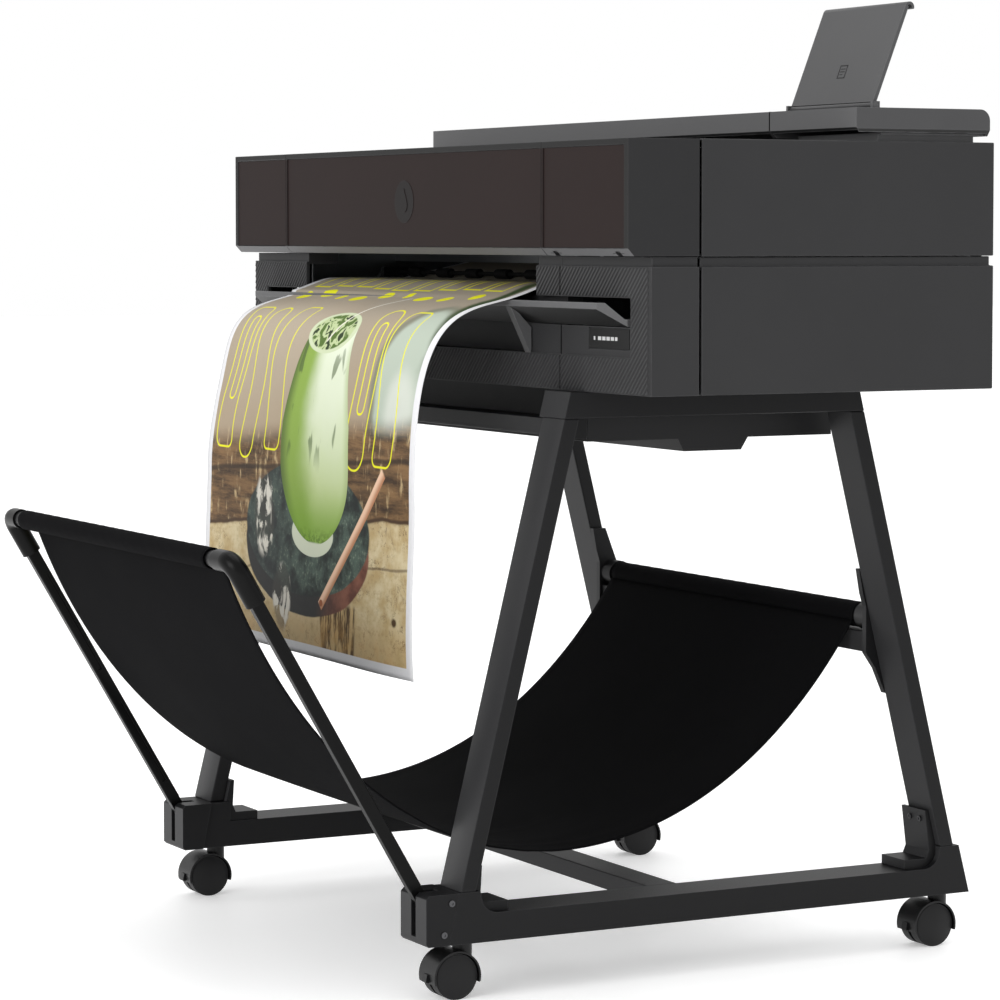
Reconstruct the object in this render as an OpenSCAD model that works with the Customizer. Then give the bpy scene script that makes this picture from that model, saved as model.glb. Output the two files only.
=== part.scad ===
// Large format plotter on a wheeled stand, with its catch basket open and a print hanging out.
// Millimetres, +Z up. Every Y below is measured back from the face of the front door, and
// "placed" then moves the whole machine so that the origin lies under the middle of its footprint.

/* [Body] */
// Width over the side covers
body_w = 1050; // [1000:10:1100]
// Depth from the front door to the rear cover
body_d = 474; // [460:2:500]
// Underside of the body above the floor
body_z0 = 668; // [660:1:680]
// Top deck above the floor
body_z1 = 945; // [940:1:950]
// Bottom of the shadow groove between lower and upper covers
groove_z0 = 807; // [804:1:808]
// Top of the shadow groove
groove_z1 = 818; // [816:1:820]
// Seam between the front pieces and the side covers
seam_y = 90; // [85:1:95]
// Open width of that seam
seam_gap = 3.4; // [1:0.2:5]
// Set-back of the lower front behind the door
lower_y = 29; // [26:1:32]
// Wall of the moulded covers
wall = 3; // [2.5:0.5:3.5]

/* [Media path] */
// Left edge of the print opening
open_x0 = -361; // [-365:1:-358]
// Right edge of the print opening
open_x1 = 265; // [262:1:270]
// Width of the paper
paper_w = 610; // [594:1:610]
// Seam between the front door and the ink door
door_x1 = 330; // [328:1:334]
// Height of the paper over the platen
paper_z = 786.3; // [786:0.1:787]
// Outside radius of the part-used media roll
roll_r = 45; // [35:1:50]

/* [Top] */
// Front of the raised top slab
slab_y0 = 289; // [285:1:295]
// Top of the slab
slab_z1 = 982; // [980:1:986]
// Seam between the roll cover and the feeder housing
slab_x1 = 344; // [340:1:350]
// Lean of the raised sheet tray back from upright, in degrees
tray_lean = 21.7; // [18:0.1:25]

/* [Stand] */
// Outer faces of the stand, from the middle
stand_x = 377; // [370:1:385]
// Height of the foot beams' underside
foot_z0 = 64; // [63:1:66]
// Height of the foot beams
foot_h = 32; // [30:1:34]
// Lean of the legs from upright, in degrees
leg_lean = 14; // [13:0.5:15]

/* [Basket] */
// Lean of the open basket arms from upright, in degrees
arm_lean = 30.2; // [28:0.1:32]
// Arm length from its pivot to the front bar
arm_len = 457; // [450:1:460]
// Half width of the sling cloth
sling_x = 290; // [285:1:295]
// Thickness of the sling cloth
sling_t = 1.6; // [1:0.1:2]

/* [Casters] */
// Wheel radius
wheel_r = 25.5; // [25:0.5:26]
// Trail of the axle behind the swivel stem
trail = 15; // [12:1:16]

/* [Hidden] */
$fn = 64;
body_x = body_w / 2;
gap = 0.5;                // seam between neighbouring covers
frame_black = "#262628";
body_grey = "#3e3e40";
brown = "#3d3331";
metal = "#a9abad";
foot_z1 = foot_z0 + foot_h;
foot_y0 = -138.5;         // lower front end of a foot beam
foot_y1 = 551;            // lower rear end of a foot beam
up_z = 121;               // top of the foot's upright ends
end_slope = (foot_y1 - 536) / (up_z - foot_z0);
leg_w = 52;               // leg width across the machine
leg_x0 = stand_x - leg_w; // inner face of a leg
beam_z0 = body_z0 - 30;
beam_x0 = stand_x - 60;
t_lean = tan(leg_lean);
front_leg_y = function(z) 3.9 - t_lean * (636.4 - z);
rear_leg_y = function(z) 381 + t_lean * (637.2 - z);
leg_t = 19;               // leg depth, measured level
pivot_y = -150.6;
pivot_z = 98;
bar_r = 9.5;
arm_end = 405;            // where an arm enters its elbow
elbow_bend = 14;
bar_half = 308;
rear_bar_y = 457;
rear_bar_z = 390;
rear_bar_r = 14;
arm_x = 345;
caster_x = 347;
stem_y_front = -108;
stem_y_rear = 526;
hood_r = wheel_r + 3.3;
stem_r = 5.5;
axle_r = 3;
run = 0.05;               // radial running clearance
elbow_r = 11.8;
rear_tip = 558.1;         // rearmost point, on the foot screws
bar_y = pivot_y - arm_len * sin(arm_lean);
bar_z = pivot_z + arm_len * cos(arm_lean);
shift_y = -(bar_y - elbow_r + rear_tip) / 2;
tongue_len = 32;
door_t = 16;
door_pin = [9, 936];
ink_pin = [9, 826];
pin_r = 2.5;
cover_pin = [460, 955];
tray_pin = [316, 985];
tray_len = 128;
tray_t = 4.6;
paper_t = 0.3;
paper_x0 = open_x0 + 8;
paper_x1 = paper_x0 + paper_w;
inner_plate_x = [-378, 279];
feed_y = 165;
feed_r = 15;
pinch_r = 6;
roll_y = 385;
roll_z = 880;
rail_y = 185;
rail_z = 850;
rail_r = 8;
carriage_x = 395;
belt_y = 209;
belt_z = 878;
pulley_r = 10;
pulley_x = 470;
guide_root = [lower_y, 746];
guide_tip = [0, 768];

// --- helpers -------------------------------------------------------------------------------

// Moves a piece from door-face coordinates to the footprint's middle.
module placed() translate([0, shift_y, 0]) children();

// A box from its low corner to its high corner.
module slab(a, b) translate(a) cube(b - a);

// Extrudes a Y-Z outline along X from x0 to x1.
module along_x(x0, x1) translate([x0, 0, 0]) rotate([90, 0, 90]) linear_extrude(x1 - x0) children();

// A round bar along X.
module rod_x(x0, x1, y, z, r) translate([x0, y, z]) rotate([0, 90, 0]) cylinder(h = x1 - x0, r = r);

// A round bar along Y.
module rod_y(y0, y1, x, z, r) translate([x, y0, z]) rotate([-90, 0, 0]) cylinder(h = y1 - y0, r = r);

// The same piece on both sides of the machine.
module both_sides() for (s = [0, 1]) mirror([s, 0, 0]) children();

// A point on a cubic curve through four control points.
function bez(p, t) = p[0] * pow(1 - t, 3) + p[1] * 3 * t * pow(1 - t, 2)
  + p[2] * 3 * t * t * (1 - t) + p[3] * pow(t, 3);

// An outline of constant thickness on one side of a path.
function normals(p) = [for (i = [0 : len(p) - 1])
  let (a = p[max(i - 1, 0)], b = p[min(i + 1, len(p) - 1)], d = (b - a) / norm(b - a)) [-d[1], d[0]]];
module ribbon(p, t) {
  n = normals(p);
  last = len(p) - 1;
  polygon(concat(p, [for (i = [last : -1 : 0]) p[i] + t * n[i]]));
}

// --- stand ---------------------------------------------------------------------------------

// One foot beam, with upright ends that curve up into the legs, and its two stem bores.
module foot() {
  r = 22;
  front = -100;
  rear = 509;
  difference() {
    along_x(beam_x0, stand_x) difference() {
      polygon([[foot_y0, foot_z0], [foot_y1, foot_z0], [foot_y1 - end_slope * (up_z - foot_z0), up_z],
        [rear, up_z], [rear, foot_z1], [front, foot_z1], [front, up_z],
        [foot_y0 + (up_z - foot_z0) * 0.2, up_z]]);
      for (y = [front + 3, rear - 3]) translate([y, foot_z1 + 3]) circle(r = 3);
    }
    for (y = [stem_y_front, stem_y_rear])
      translate([caster_x, y, foot_z0 - 1]) cylinder(h = 29, r = stem_r + run);
  }
  // Curved outer cheeks between the beam and its upright ends
  for (e = [[front, 1], [rear, -1]])
    along_x(stand_x - 8, stand_x) difference() {
      translate([min(e[0], e[0] + e[1] * r), foot_z1]) square([r, up_z - foot_z1]);
      translate([e[0] + e[1] * r, foot_z1 + r]) circle(r = r);
      translate([min(e[0], e[0] + e[1] * r), foot_z1 + r]) square([r, r]);
    }
}

module foot_left() color(frame_black) placed() mirror([1, 0, 0]) foot();
module foot_right() color(frame_black) placed() foot();

// Both front legs, leaning back from the feet to the top beams.
module front_legs() color(frame_black) placed() both_sides() along_x(leg_x0, stand_x)
  polygon([[front_leg_y(up_z), up_z], [front_leg_y(up_z) + leg_t, up_z],
    [front_leg_y(beam_z0) + leg_t, beam_z0], [front_leg_y(beam_z0), beam_z0]]);

// Both rear legs, leaning forward from the feet to the top beams.
module rear_legs() color(frame_black) placed() both_sides() along_x(leg_x0, stand_x)
  polygon([[rear_leg_y(up_z), up_z], [rear_leg_y(up_z) + leg_t, up_z],
    [rear_leg_y(beam_z0) + leg_t, beam_z0], [rear_leg_y(beam_z0), beam_z0]]);

// The beams under the body, which join each pair of legs.
module top_beams() color(frame_black) placed() both_sides() along_x(beam_x0, stand_x)
  polygon([[front_leg_y(beam_z0), beam_z0], [rear_leg_y(beam_z0) + leg_t, beam_z0],
    [rear_leg_y(body_z0) + leg_t, body_z0], [front_leg_y(body_z0), body_z0]]);

// An L bracket in the corner of a foot and a leg: a pad on the beam and an arm up the leg.
module leg_bracket(y, dir, height) {
  pad = 50;
  t = 11;
  lean = dir * t_lean;
  top = foot_z1 + height;
  base_y = y - lean * foot_z1;
  along_x(beam_x0 + 2, stand_x - 9) difference() {
    polygon([[base_y + lean * top, top], [base_y + lean * foot_z1, foot_z1],
      [base_y + lean * foot_z1 + dir * pad, foot_z1], [base_y + lean * foot_z1 + dir * pad, foot_z1 + t],
      [base_y + lean * foot_z1 + dir * (t + 9), foot_z1 + t],
      [base_y + lean * (foot_z1 + t + 9) + dir * t, foot_z1 + t + 9], [base_y + lean * top + dir * 5, top]]);
  }
}

module leg_brackets() color(frame_black) placed() both_sides() {
  difference() {
    leg_bracket(front_leg_y(foot_z1) + leg_t + 0.2, 1, 52);
    slab([0, -140, 0], [stand_x - 9, -99.8, up_z + 0.2]);
  }
  difference() {
    leg_bracket(rear_leg_y(foot_z1) - 0.2, -1, 68);
    slab([0, 508.8, 0], [stand_x - 9, 540, up_z + 0.2]);
  }
}

// Flat tubes that tie the two sides of the stand together.
module lower_crossbar() color(frame_black) placed()
  difference() {
    slab([-beam_x0, 145, 76], [beam_x0, 185, foot_z1]);
    slab([-beam_x0 - 1, 147, 78], [beam_x0 + 1, 183, foot_z1 - 2]);
  }

module upper_crossbar() color(frame_black) placed() {
  difference() {
    slab([-leg_x0 + 4, 24, 616], [leg_x0 - 4, 62, 635]);
    slab([-leg_x0 - 1, 26, 618], [leg_x0 + 1, 60, 633]);
  }
  both_sides() along_x(leg_x0 - 4, leg_x0)
    polygon([[4, 612], [62, 612], [62, beam_z0], [front_leg_y(beam_z0) + 6, beam_z0]]);
}

module rear_crossbar() color(frame_black) placed()
  difference() {
    slab([-leg_x0 + 8, 442, 349], [leg_x0 - 8, 470, 373]);
    slab([-leg_x0, 444, 351], [leg_x0, 468, 371]);
  }

// The split blocks at the front of the feet, with the pins on which the basket arms turn.
module basket_knuckles() color(frame_black) placed() both_sides() {
  x0 = 313;
  difference() {
    along_x(x0, stand_x) polygon([[-167, 67], [-164, foot_z0], [foot_y0 - 0.3, foot_z0],
      [foot_y0 + 0.2 * (up_z - foot_z0) - 0.3, up_z], [-163, up_z], [-167, up_z - 4]]);
    slab([arm_x - 5.5, -170, 84], [arm_x + 5.5, -139.5, up_z + 1]);
    slab([arm_x - 5.5, -170, 72], [arm_x + 5.5, -160, 85]);
  }
  rod_x(arm_x - 6, arm_x + 6, pivot_y, pivot_z, 4);
}

// Screw heads: on the knuckles, on the rear ends of the feet and on the brackets.
module screw_head(r, h) {
  difference() {
    cylinder(h = h, r = r);
    translate([0, 0, h - 0.8]) cylinder(h = 1, r = r * 0.5, $fn = 6);
  }
}

module stand_screws() color("#8a8a8c") placed() both_sides() {
  for (p = [[-135.8, 110.4], [-145.2, 76.2]])
    translate([stand_x, p[0], p[1]]) rotate([0, 90, 0]) screw_head(3.6, 1.2);
  for (p = [[539, 110.6], [548.2, 75.5]])
    translate([347, p[0], p[1]]) rotate([-75.3, 0, 0]) screw_head(4.5, 9);
  for (x = [336, 356])
    translate([x, rear_leg_y(153) - 6.8, 153]) rotate([90 + leg_lean / 2, 0, 0]) screw_head(3.4, 2);
}

// Plates on the rear legs that carry the sling's rear bar and the rear crossbar.
module rear_bar_brackets() color(frame_black) placed() both_sides() {
  along_x(leg_x0 - 8, leg_x0) polygon([[rear_leg_y(449), 449], [rear_leg_y(449) + leg_t, 449],
    [rear_leg_y(405) + leg_t + 6, 405], [476, 385], [476, 352], [rear_leg_y(300) + leg_t, 300],
    [rear_leg_y(300), 300], [rear_leg_y(330) - 6, 330], [438, 349], [438, 404],
    [rear_leg_y(420) - 2, 420]]);
  difference() {
    rod_x(leg_x0 - 30, leg_x0 - 8, rear_bar_y, rear_bar_z, 16.5);
    rod_x(leg_x0 - 31, leg_x0 - 7, rear_bar_y, rear_bar_z, rear_bar_r + run);
  }
}

module sling_rear_bar() color("#1c1c1d") placed()
  difference() {
    rod_x(-leg_x0 + 8, leg_x0 - 8, rear_bar_y, rear_bar_z, rear_bar_r);
    rod_x(-leg_x0, leg_x0, rear_bar_y, rear_bar_z, rear_bar_r - 2);
  }

// --- catch basket --------------------------------------------------------------------------

sling_front = [[bar_y + 10.2, bar_z - 3], [-298, 291], [-141, 140], [45, 140]];
sling_rear = [[45, 140], [217, 140], [357, 249], [rear_bar_y - 14, rear_bar_z - 5.5]];
sling_steps = 12;
sling_path = concat([for (i = [0 : sling_steps]) bez(sling_front, i / sling_steps)],
  [for (i = [1 : sling_steps]) bez(sling_rear, i / sling_steps)]);

// The cloth sling: a long shallow curve with a hem sleeve round each bar.
module sling() color("#161616") placed() {
  along_x(-sling_x, sling_x) ribbon(sling_path, sling_t);
  along_x(-sling_x, sling_x) {
    difference() {
      translate([bar_y, bar_z]) circle(r = bar_r + 2);
      translate([bar_y, bar_z]) circle(r = bar_r + 0.5);
    }
    difference() {
      translate([rear_bar_y, rear_bar_z]) circle(r = rear_bar_r + 1.9);
      translate([rear_bar_y, rear_bar_z]) circle(r = rear_bar_r + 0.4);
    }
  }
}

// Draws in an arm's own frame: Z runs from the pivot along the arm.
module on_arm() translate([0, pivot_y, pivot_z]) rotate([arm_lean, 0, 0]) children();

module basket_bar() color("#1c1c1d") placed()
  difference() {
    rod_x(-bar_half, bar_half, bar_y, bar_z, bar_r);
    rod_x(-bar_half - 1, bar_half + 1, bar_y, bar_z, bar_r - 1.5);
  }

// Moulded corners that join the arms to the bar, each one swept round its bend.
module basket_elbows() color("#232324") placed() both_sides() on_arm() {
  translate([arm_x, 0, arm_end]) cylinder(h = arm_len - elbow_bend - arm_end, r = elbow_r);
  translate([arm_x - elbow_bend, 0, arm_len - elbow_bend]) rotate([90, 0, 0])
    rotate_extrude(angle = 90) translate([elbow_bend, 0]) circle(r = elbow_r);
  translate([bar_half, 0, arm_len]) rotate([0, 90, 0])
    cylinder(h = arm_x - elbow_bend - bar_half, r = elbow_r);
}

// Arms of flattened tube with a long groove inside, and a tongue that turns on the knuckle pin.
module basket_arms() color("#202021") placed() both_sides() on_arm() {
  w = 15;
  t = 12;
  difference() {
    union() {
      translate([arm_x, 0, tongue_len]) linear_extrude(arm_end - tongue_len) {
        square([t - 4, w], center = true);
        square([t, w - 4], center = true);
        for (sx = [-1, 1], sy = [-1, 1]) translate([sx * (t / 2 - 2), sy * (w / 2 - 2)]) circle(r = 2);
      }
      translate([arm_x - 4.5, -7, 0]) cube([9, 14, tongue_len]);
      translate([arm_x - 4.5, 0, 0]) rotate([0, 90, 0]) cylinder(h = 9, r = 8.5);
    }
    translate([arm_x - 5, 0, 0]) rotate([0, 90, 0]) cylinder(h = 10, r = 4 + run);
    translate([arm_x - t / 2 - 1, -3, 230]) cube([3.5, 6, 140]);
    translate([arm_x - t / 2 - 1, -3, 60]) cube([3.5, 6, 120]);
  }
}

// --- casters -------------------------------------------------------------------------------

// A caster's swivel: stem, neck, hood over the top of both wheels, middle web and axle.
module caster(y) translate([caster_x, y, 0]) {
  hw = 19.5;
  rim_z = wheel_r - 7;
  translate([0, 0, 62]) cylinder(h = 26, r = stem_r);
  difference() {
    union() {
      rod_x(-hw, hw, -trail, wheel_r, hood_r);
      translate([0, 0, 38]) cylinder(h = 24.7, r = 11);
    }
    rod_x(-hw - 1, hw + 1, -trail, wheel_r, hood_r - 2);
    slab([-hw - 1, -trail - hood_r - 1, -5], [hw + 1, -trail + hood_r + 1, rim_z]);
  }
  difference() {
    rod_x(-2.2, 2.2, -trail, wheel_r, hood_r - 1);
    slab([-3, -trail - hood_r, -5], [3, -trail + hood_r, rim_z]);
  }
  rod_x(-2.2, 2.2, -trail, wheel_r, 9);
  rod_x(-16, 16, -trail, wheel_r, axle_r);
  // Brake pedal at the front of the hood
  translate([0, -trail - hood_r, wheel_r]) rotate([-12, 0, 0])
    translate([-5, -2.5, -6]) cube([10, 4, 9]);
}

// A caster's two wheels, domed outside, on one axle.
module wheels(y) translate([caster_x, y - trail, wheel_r]) for (s = [-1, 1]) rotate([0, 90 * s, 0])
  rotate_extrude() difference() {
    union() {
      translate([0, 2.8]) square([wheel_r, 13.2]);
      intersection() {
        translate([0, 16]) square([wheel_r - 1.5, 4]);
        translate([0, -70]) circle(r = 90);
      }
    }
    translate([-1, 2]) square([axle_r + run + 1, 14.3]);
  }

module caster_front_left() color("#1f1f20") placed() mirror([1, 0, 0]) caster(stem_y_front);
module caster_front_right() color("#1f1f20") placed() caster(stem_y_front);
module caster_rear_left() color("#1f1f20") placed() mirror([1, 0, 0]) caster(stem_y_rear);
module caster_rear_right() color("#1f1f20") placed() caster(stem_y_rear);
module wheels_front_left() color("#161617") placed() mirror([1, 0, 0]) wheels(stem_y_front);
module wheels_front_right() color("#161617") placed() wheels(stem_y_front);
module wheels_rear_left() color("#161617") placed() mirror([1, 0, 0]) wheels(stem_y_rear);
module wheels_rear_right() color("#161617") placed() wheels(stem_y_rear);

// --- body covers ---------------------------------------------------------------------------

// The floor of the body with the deep electronics trough between the A-frames.
module base_pan() color("#2c2c2e") placed() {
  x0 = 300;
  z0 = 607;
  difference() {
    union() {
      slab([-body_x + 9.5, seam_y + 1, body_z0], [body_x - 9.5, body_d - 5, body_z0 + wall]);
      slab([-x0, 76, z0], [x0, 404, body_z0 + 1]);
      along_x(-x0 + 20, x0) polygon([[195, z0 + 1], [203, z0 - 14.5], [280, z0 - 14.5], [290, z0 + 1]]);
    }
    slab([-x0 + wall, 76 + wall, z0 + wall], [x0 - wall, 404 - wall, body_z0 + wall + 1]);
    along_x(-x0 + 23, x0 - 3) polygon([[199, z0 + 4], [206, z0 - 11.5], [277, z0 - 11.5], [286, z0 + 4]]);
  }
}

// Side wall of a lower cover: flanged, with the recessed groove lip at its top.
module lower_side_covers() color(body_grey) placed() both_sides() {
  y0 = seam_y + seam_gap / 2;
  difference() {
    slab([body_x - 22, y0, body_z0 + 3.2], [body_x, body_d, groove_z0]);
    slab([body_x - 23, y0 - 1, body_z0 + 6.2], [body_x - wall, body_d + 1, groove_z0 - wall]);
  }
  slab([body_x - 9, y0, body_z0], [body_x, body_d, body_z0 + 3.2]);
  slab([body_x - 7, y0, groove_z0], [body_x - 4, body_d - 3, groove_z1 - gap]);
}

module upper_side_covers() color(body_grey) placed() both_sides() {
  y0 = seam_y + seam_gap / 2;
  difference() {
    slab([body_x - 22, y0, groove_z1], [body_x, body_d, body_z1]);
    slab([body_x - 23, y0 - 1, groove_z1 + wall], [body_x - wall, body_d + 1, body_z1 - wall]);
  }
}

// The rear wall, with vents over the electronics and a cut-out for the power inlet.
module rear_cover() color(body_grey) placed() difference() {
  slab([-body_x + 22.5, body_d - 4, body_z0 + 3.5], [body_x - 22.5, body_d, body_z1 - 3.5]);
  for (i = [0 : 13]) slab([-460 + 12 * i, body_d - 5, 700], [-454 + 12 * i, body_d + 1, 730]);
  slab([416, body_d - 5, 690], [448, body_d + 1, 716]);
}

// Outline in Y and Z of a lower front block: wall, top lip and the groove behind the face.
module front_block(x0, x1) {
  y1 = seam_y - seam_gap / 2;
  difference() {
    slab([x0, lower_y, body_z0], [x1, y1, groove_z0]);
    slab([x0 - 1, lower_y + 4, body_z0 + wall], [x1 - wall, seam_y + 1, groove_z0 - wall]);
  }
  slab([x0, lower_y + 3, groove_z0], [x1 - 4, y1, groove_z1 - gap]);
}

// Left and right lower front blocks, recessed for the output guide and the label plate.
module front_blocks() color(body_grey) placed() {
  difference() {
    front_block(321.6, body_x);
    slab([321, lower_y - 1, 741], [480, lower_y + 10, 773]);
    slab([321, lower_y - 1, 708], [480, lower_y + 1.6, 741.1]);
    slab([384, lower_y - 1, 716], [476, lower_y + 3, 740]);
    slab([321, lower_y + 12, groove_z0], [body_x - 8, seam_y + 1, groove_z1]);
    slab([321, 74, groove_z0 - wall - 1], [470, seam_y + 1, groove_z1]);
  }
  // Tabs on which the ink door turns
  for (x = [356, 496]) difference() {
    union() {
      slab([x - 4, 6, 822.2], [x + 4, 44, 829.8]);
      slab([x - 4, 34, groove_z0 - 4], [x + 4, 44, 825]);
    }
    rod_x(x - 5, x + 5, ink_pin[0], ink_pin[1], pin_r + run);
  }
  // Shelf under the ink, on two posts
  slab([335, 44.5, 829], [496.5, 72, 832]);
  for (x = [338, 484]) slab([x, 50, groove_z0 - 1], [x + 5, 68, 830]);
  mirror([1, 0, 0]) difference() {
    front_block(-open_x0, body_x);
    slab([-open_x0 - 1, lower_y - 1, 741], [484, lower_y + 10, 773]);
    slab([-open_x0 - 1, 74, groove_z0 - wall - 1], [470, seam_y + 1, groove_z1]);
  }
}

// The middle of the lower front: the strip under the opening, the neck on its right, the dark
// pocket behind the guide and the ramp that lifts the paper off the platen.
module output_chute() color(body_grey) placed() {
  x1 = 321;
  difference() {
    slab([open_x0 + 0.5, lower_y, body_z0], [x1, lower_y + 30, groove_z0]);
    slab([open_x0 - 1, lower_y - 1, 773], [open_x1, lower_y + 31, groove_z0 + 1]);
    slab([open_x0 - 1, lower_y - 1, 741], [x1 + 1, lower_y + 10, 773.1]);
    slab([open_x0 - 1, lower_y - 1, 708], [250, lower_y + 27, 741.1]);
    slab([249, lower_y - 1, 708], [x1 + 1, lower_y + 1.6, 741.1]);
    slab([open_x0 - 1, lower_y + 4, body_z0 + wall], [x1 + 1, lower_y + 31, 704]);
  }
  slab([open_x1, lower_y + 3, groove_z0], [x1, lower_y + 30, groove_z1 - gap]);
  slab([open_x0 + 0.5, lower_y + 10, body_z0], [x1, 75.5, body_z0 + wall]);
}

// The fixed ledge that the print slides over, carried on two tapered gussets.
module output_guide() color("#4a4a4c") placed() {
  root = guide_root;
  tip = guide_tip;
  difference() {
    along_x(-480, 475) polygon([tip, [tip[0], tip[1] - 7], [root[0] - 1, root[1] - 4],
      [root[0] + 9.5, root[1] - 4.5], [root[0] + 9.5, root[1] + 4], [root[0] - 3, root[1] + 4],
      [8, tip[1]]]);
    for (x = [[475, -20], [-480, 20]])
      linear_extrude(1000) polygon([[x[0], root[0] - 1], [x[0], -1], [x[0] + x[1], -1]]);
  }
  for (x = [242, -254]) along_x(x, x + 12)
    polygon([[1, tip[1] - 7], [6, tip[1] - 8], [root[0] - 0.2, 736], [root[0] - 0.2, 707.5],
      [root[0] - 2, 707.5]]);
}

module label_plate() color("#2a2a2b") placed()
  slab([385, lower_y + 1.2, 717], [475, lower_y + 3, 739]);

// Front frame of a fascia piece: a shell with a shallow pocket for its inlay.
module fascia(x0, x1, in0, in1) difference() {
  along_x(x0, x1) polygon([[0, groove_z1 + 9], [0, body_z1 - gap], [door_t, body_z1 - gap],
    [door_t, groove_z1 + gap], [8, groove_z1 + gap]]);
  slab([in0, -1, groove_z1 + 9], [in1, 2, 938]);
  slab([x0 + 5, 6, groove_z1 + 4], [x1 - 5, door_t + 1, body_z1 - 4]);
}

// Side return of a fascia piece, back to the seam with the side cover.
module side_return()
  slab([body_x - wall, door_t - 1, groove_z1 + gap], [body_x, seam_y - seam_gap / 2, body_z1 - gap]);

module left_end_cap() color(body_grey) placed() mirror([1, 0, 0]) {
  fascia(-open_x0 + gap, body_x, -open_x0 + 3, 516);
  side_return();
}

// The front window door, which lifts on its upper pins.
module front_door() color(body_grey) placed() {
  difference() {
    fascia(open_x0 + gap, door_x1 - gap, open_x0 + 3, door_x1 - 3);
    for (x = [-300, 260]) slab([x - 5, 3.5, 930], [x + 5, door_t + 1, body_z1 + 1]);
  }
  for (x = [-300, 260]) {
    rod_x(x - 12, x + 12, door_pin[0], door_pin[1], pin_r);
    for (s = [-12, 6]) slab([x + s, 5, 931], [x + s + 6, 12, body_z1 - 3]);
  }
}

// The ink door wraps round the corner and drops forward on its lower pins.
module ink_door() color(body_grey) placed() {
  difference() {
    union() {
      fascia(door_x1 + gap, body_x, door_x1 + 3, 516);
      side_return();
    }
    for (x = [356, 496]) slab([x - 5, 3.5, groove_z1], [x + 5, door_t + 1, 833]);
  }
  for (x = [356, 496]) {
    rod_x(x - 12, x + 12, ink_pin[0], ink_pin[1], pin_r);
    for (s = [-12, 6]) slab([x + s, 5, groove_z1 + 3], [x + s + 6, 12, 831]);
  }
}

// A plain round badge with a raised ink drop.
module emblem() color("#1b1819") placed() translate([-18, 2, 881]) rotate([90, 0, 0]) {
  cylinder(h = 1.5, r = 25.5);
  translate([0, -4, 1]) cylinder(h = 1, r = 9);
  translate([0, 0, 1]) linear_extrude(1) polygon([[-7.6, 1], [0, 16], [7.6, 1]]);
}

// The deck over the body, open over the roll, with the tabs of the door and cover hinges.
module top_deck() color(body_grey) placed() {
  difference() {
    slab([-body_x + 22.5, seam_y + 0.6, body_z1 - wall], [body_x - 22.5, body_d - 1, body_z1]);
    slab([-384, 300, body_z1 - 10], [288, 452, body_z1 + 1]);
    slab([378, 118, body_z1 - 10], [502, 192, body_z1 + 1]);
  }
  slab([-body_x + wall + 0.5, 23, body_z1 - wall], [body_x - wall - 0.5, seam_y + 0.6, body_z1]);
  for (x = [-300, 260]) difference() {
    union() {
      slab([x - 4, 6, door_pin[1] - 4], [x + 4, 40, door_pin[1] + 4]);
      slab([x - 4, 24, door_pin[1]], [x + 4, 40, body_z1 - 1]);
    }
    rod_x(x - 5, x + 5, door_pin[0], door_pin[1], pin_r + run);
  }
  for (x = [-400, -90, 220]) difference() {
    slab([x - 5, 455.5, body_z1 - 1], [x + 5, 464.5, 959]);
    rod_x(x - 6, x + 6, cover_pin[0], cover_pin[1], pin_r + run);
  }
}

// Outline of the slab in Y and Z: bevelled below in front and rounded above at the rear.
module slab_outline(t) {
  r = 13 - t;
  rear = 468 - t;
  top = slab_z1 - t;
  union() {
    polygon([[slab_y0 + t, 960], [slab_y0 + t, top], [rear - r, top], [rear - r, 952],
      [slab_y0 + 8 + t, 952]]);
    translate([rear - r, 952]) square([r, top - r - 952]);
    translate([rear - r, top - r]) circle(r = r);
  }
}

// A shell of the slab's outline, open below.
module slab_shell(x0, x1) difference() {
  along_x(x0, x1) slab_outline(0);
  along_x(x0 + wall, x1 - wall) intersection() {
    translate([0, -wall]) slab_outline(wall);
    translate([0, 940]) square([600, slab_z1 - wall - 940]);
  }
  slab([x0 + wall, slab_y0 + 12, 951], [x1 - wall, 468 - wall, 958]);
}

module roll_cover() color(body_grey) placed() {
  difference() {
    slab_shell(-516, slab_x1 - gap);
    for (x = [-400, -90, 220]) slab([x - 6, 450, 951], [x + 6, 470, 963]);
  }
  for (x = [-400, -90, 220]) {
    rod_x(x - 15, x + 15, cover_pin[0], cover_pin[1], pin_r);
    for (s = [-15, 7]) slab([x + s, 456.5, 952.5], [x + s + 8, 466, 972]);
  }
}

// The sheet feeder's housing on its plinth, slotted for single sheets, with the tray's ears.
module feeder_housing() color(body_grey) placed() {
  difference() {
    slab_shell(slab_x1 + gap, body_x);
    slab([356, tray_pin[0] - 20, 975], [510, tray_pin[0] - 8, slab_z1 + 1]);
    translate([body_x, 0, 952]) rotate([90, 0, 0])
      linear_extrude(1100, center = true) polygon([[-6, -1], [1, -1], [1, 8]]);
  }
  slab([352, 324, body_z1], [body_x - 10, 452, 953]);
  slab([slab_x1 + gap + 1, 326, 952.5], [body_x - 7, 466, 954.5]);
  for (x = [slab_x1 + 1.5, body_x - 6]) difference() {
    slab([x, tray_pin[0] - 5, slab_z1 - 2], [x + 4, tray_pin[0] + 5, 989]);
    rod_x(x - 1, x + 5, tray_pin[0], tray_pin[1], pin_r + run);
  }
}

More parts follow.
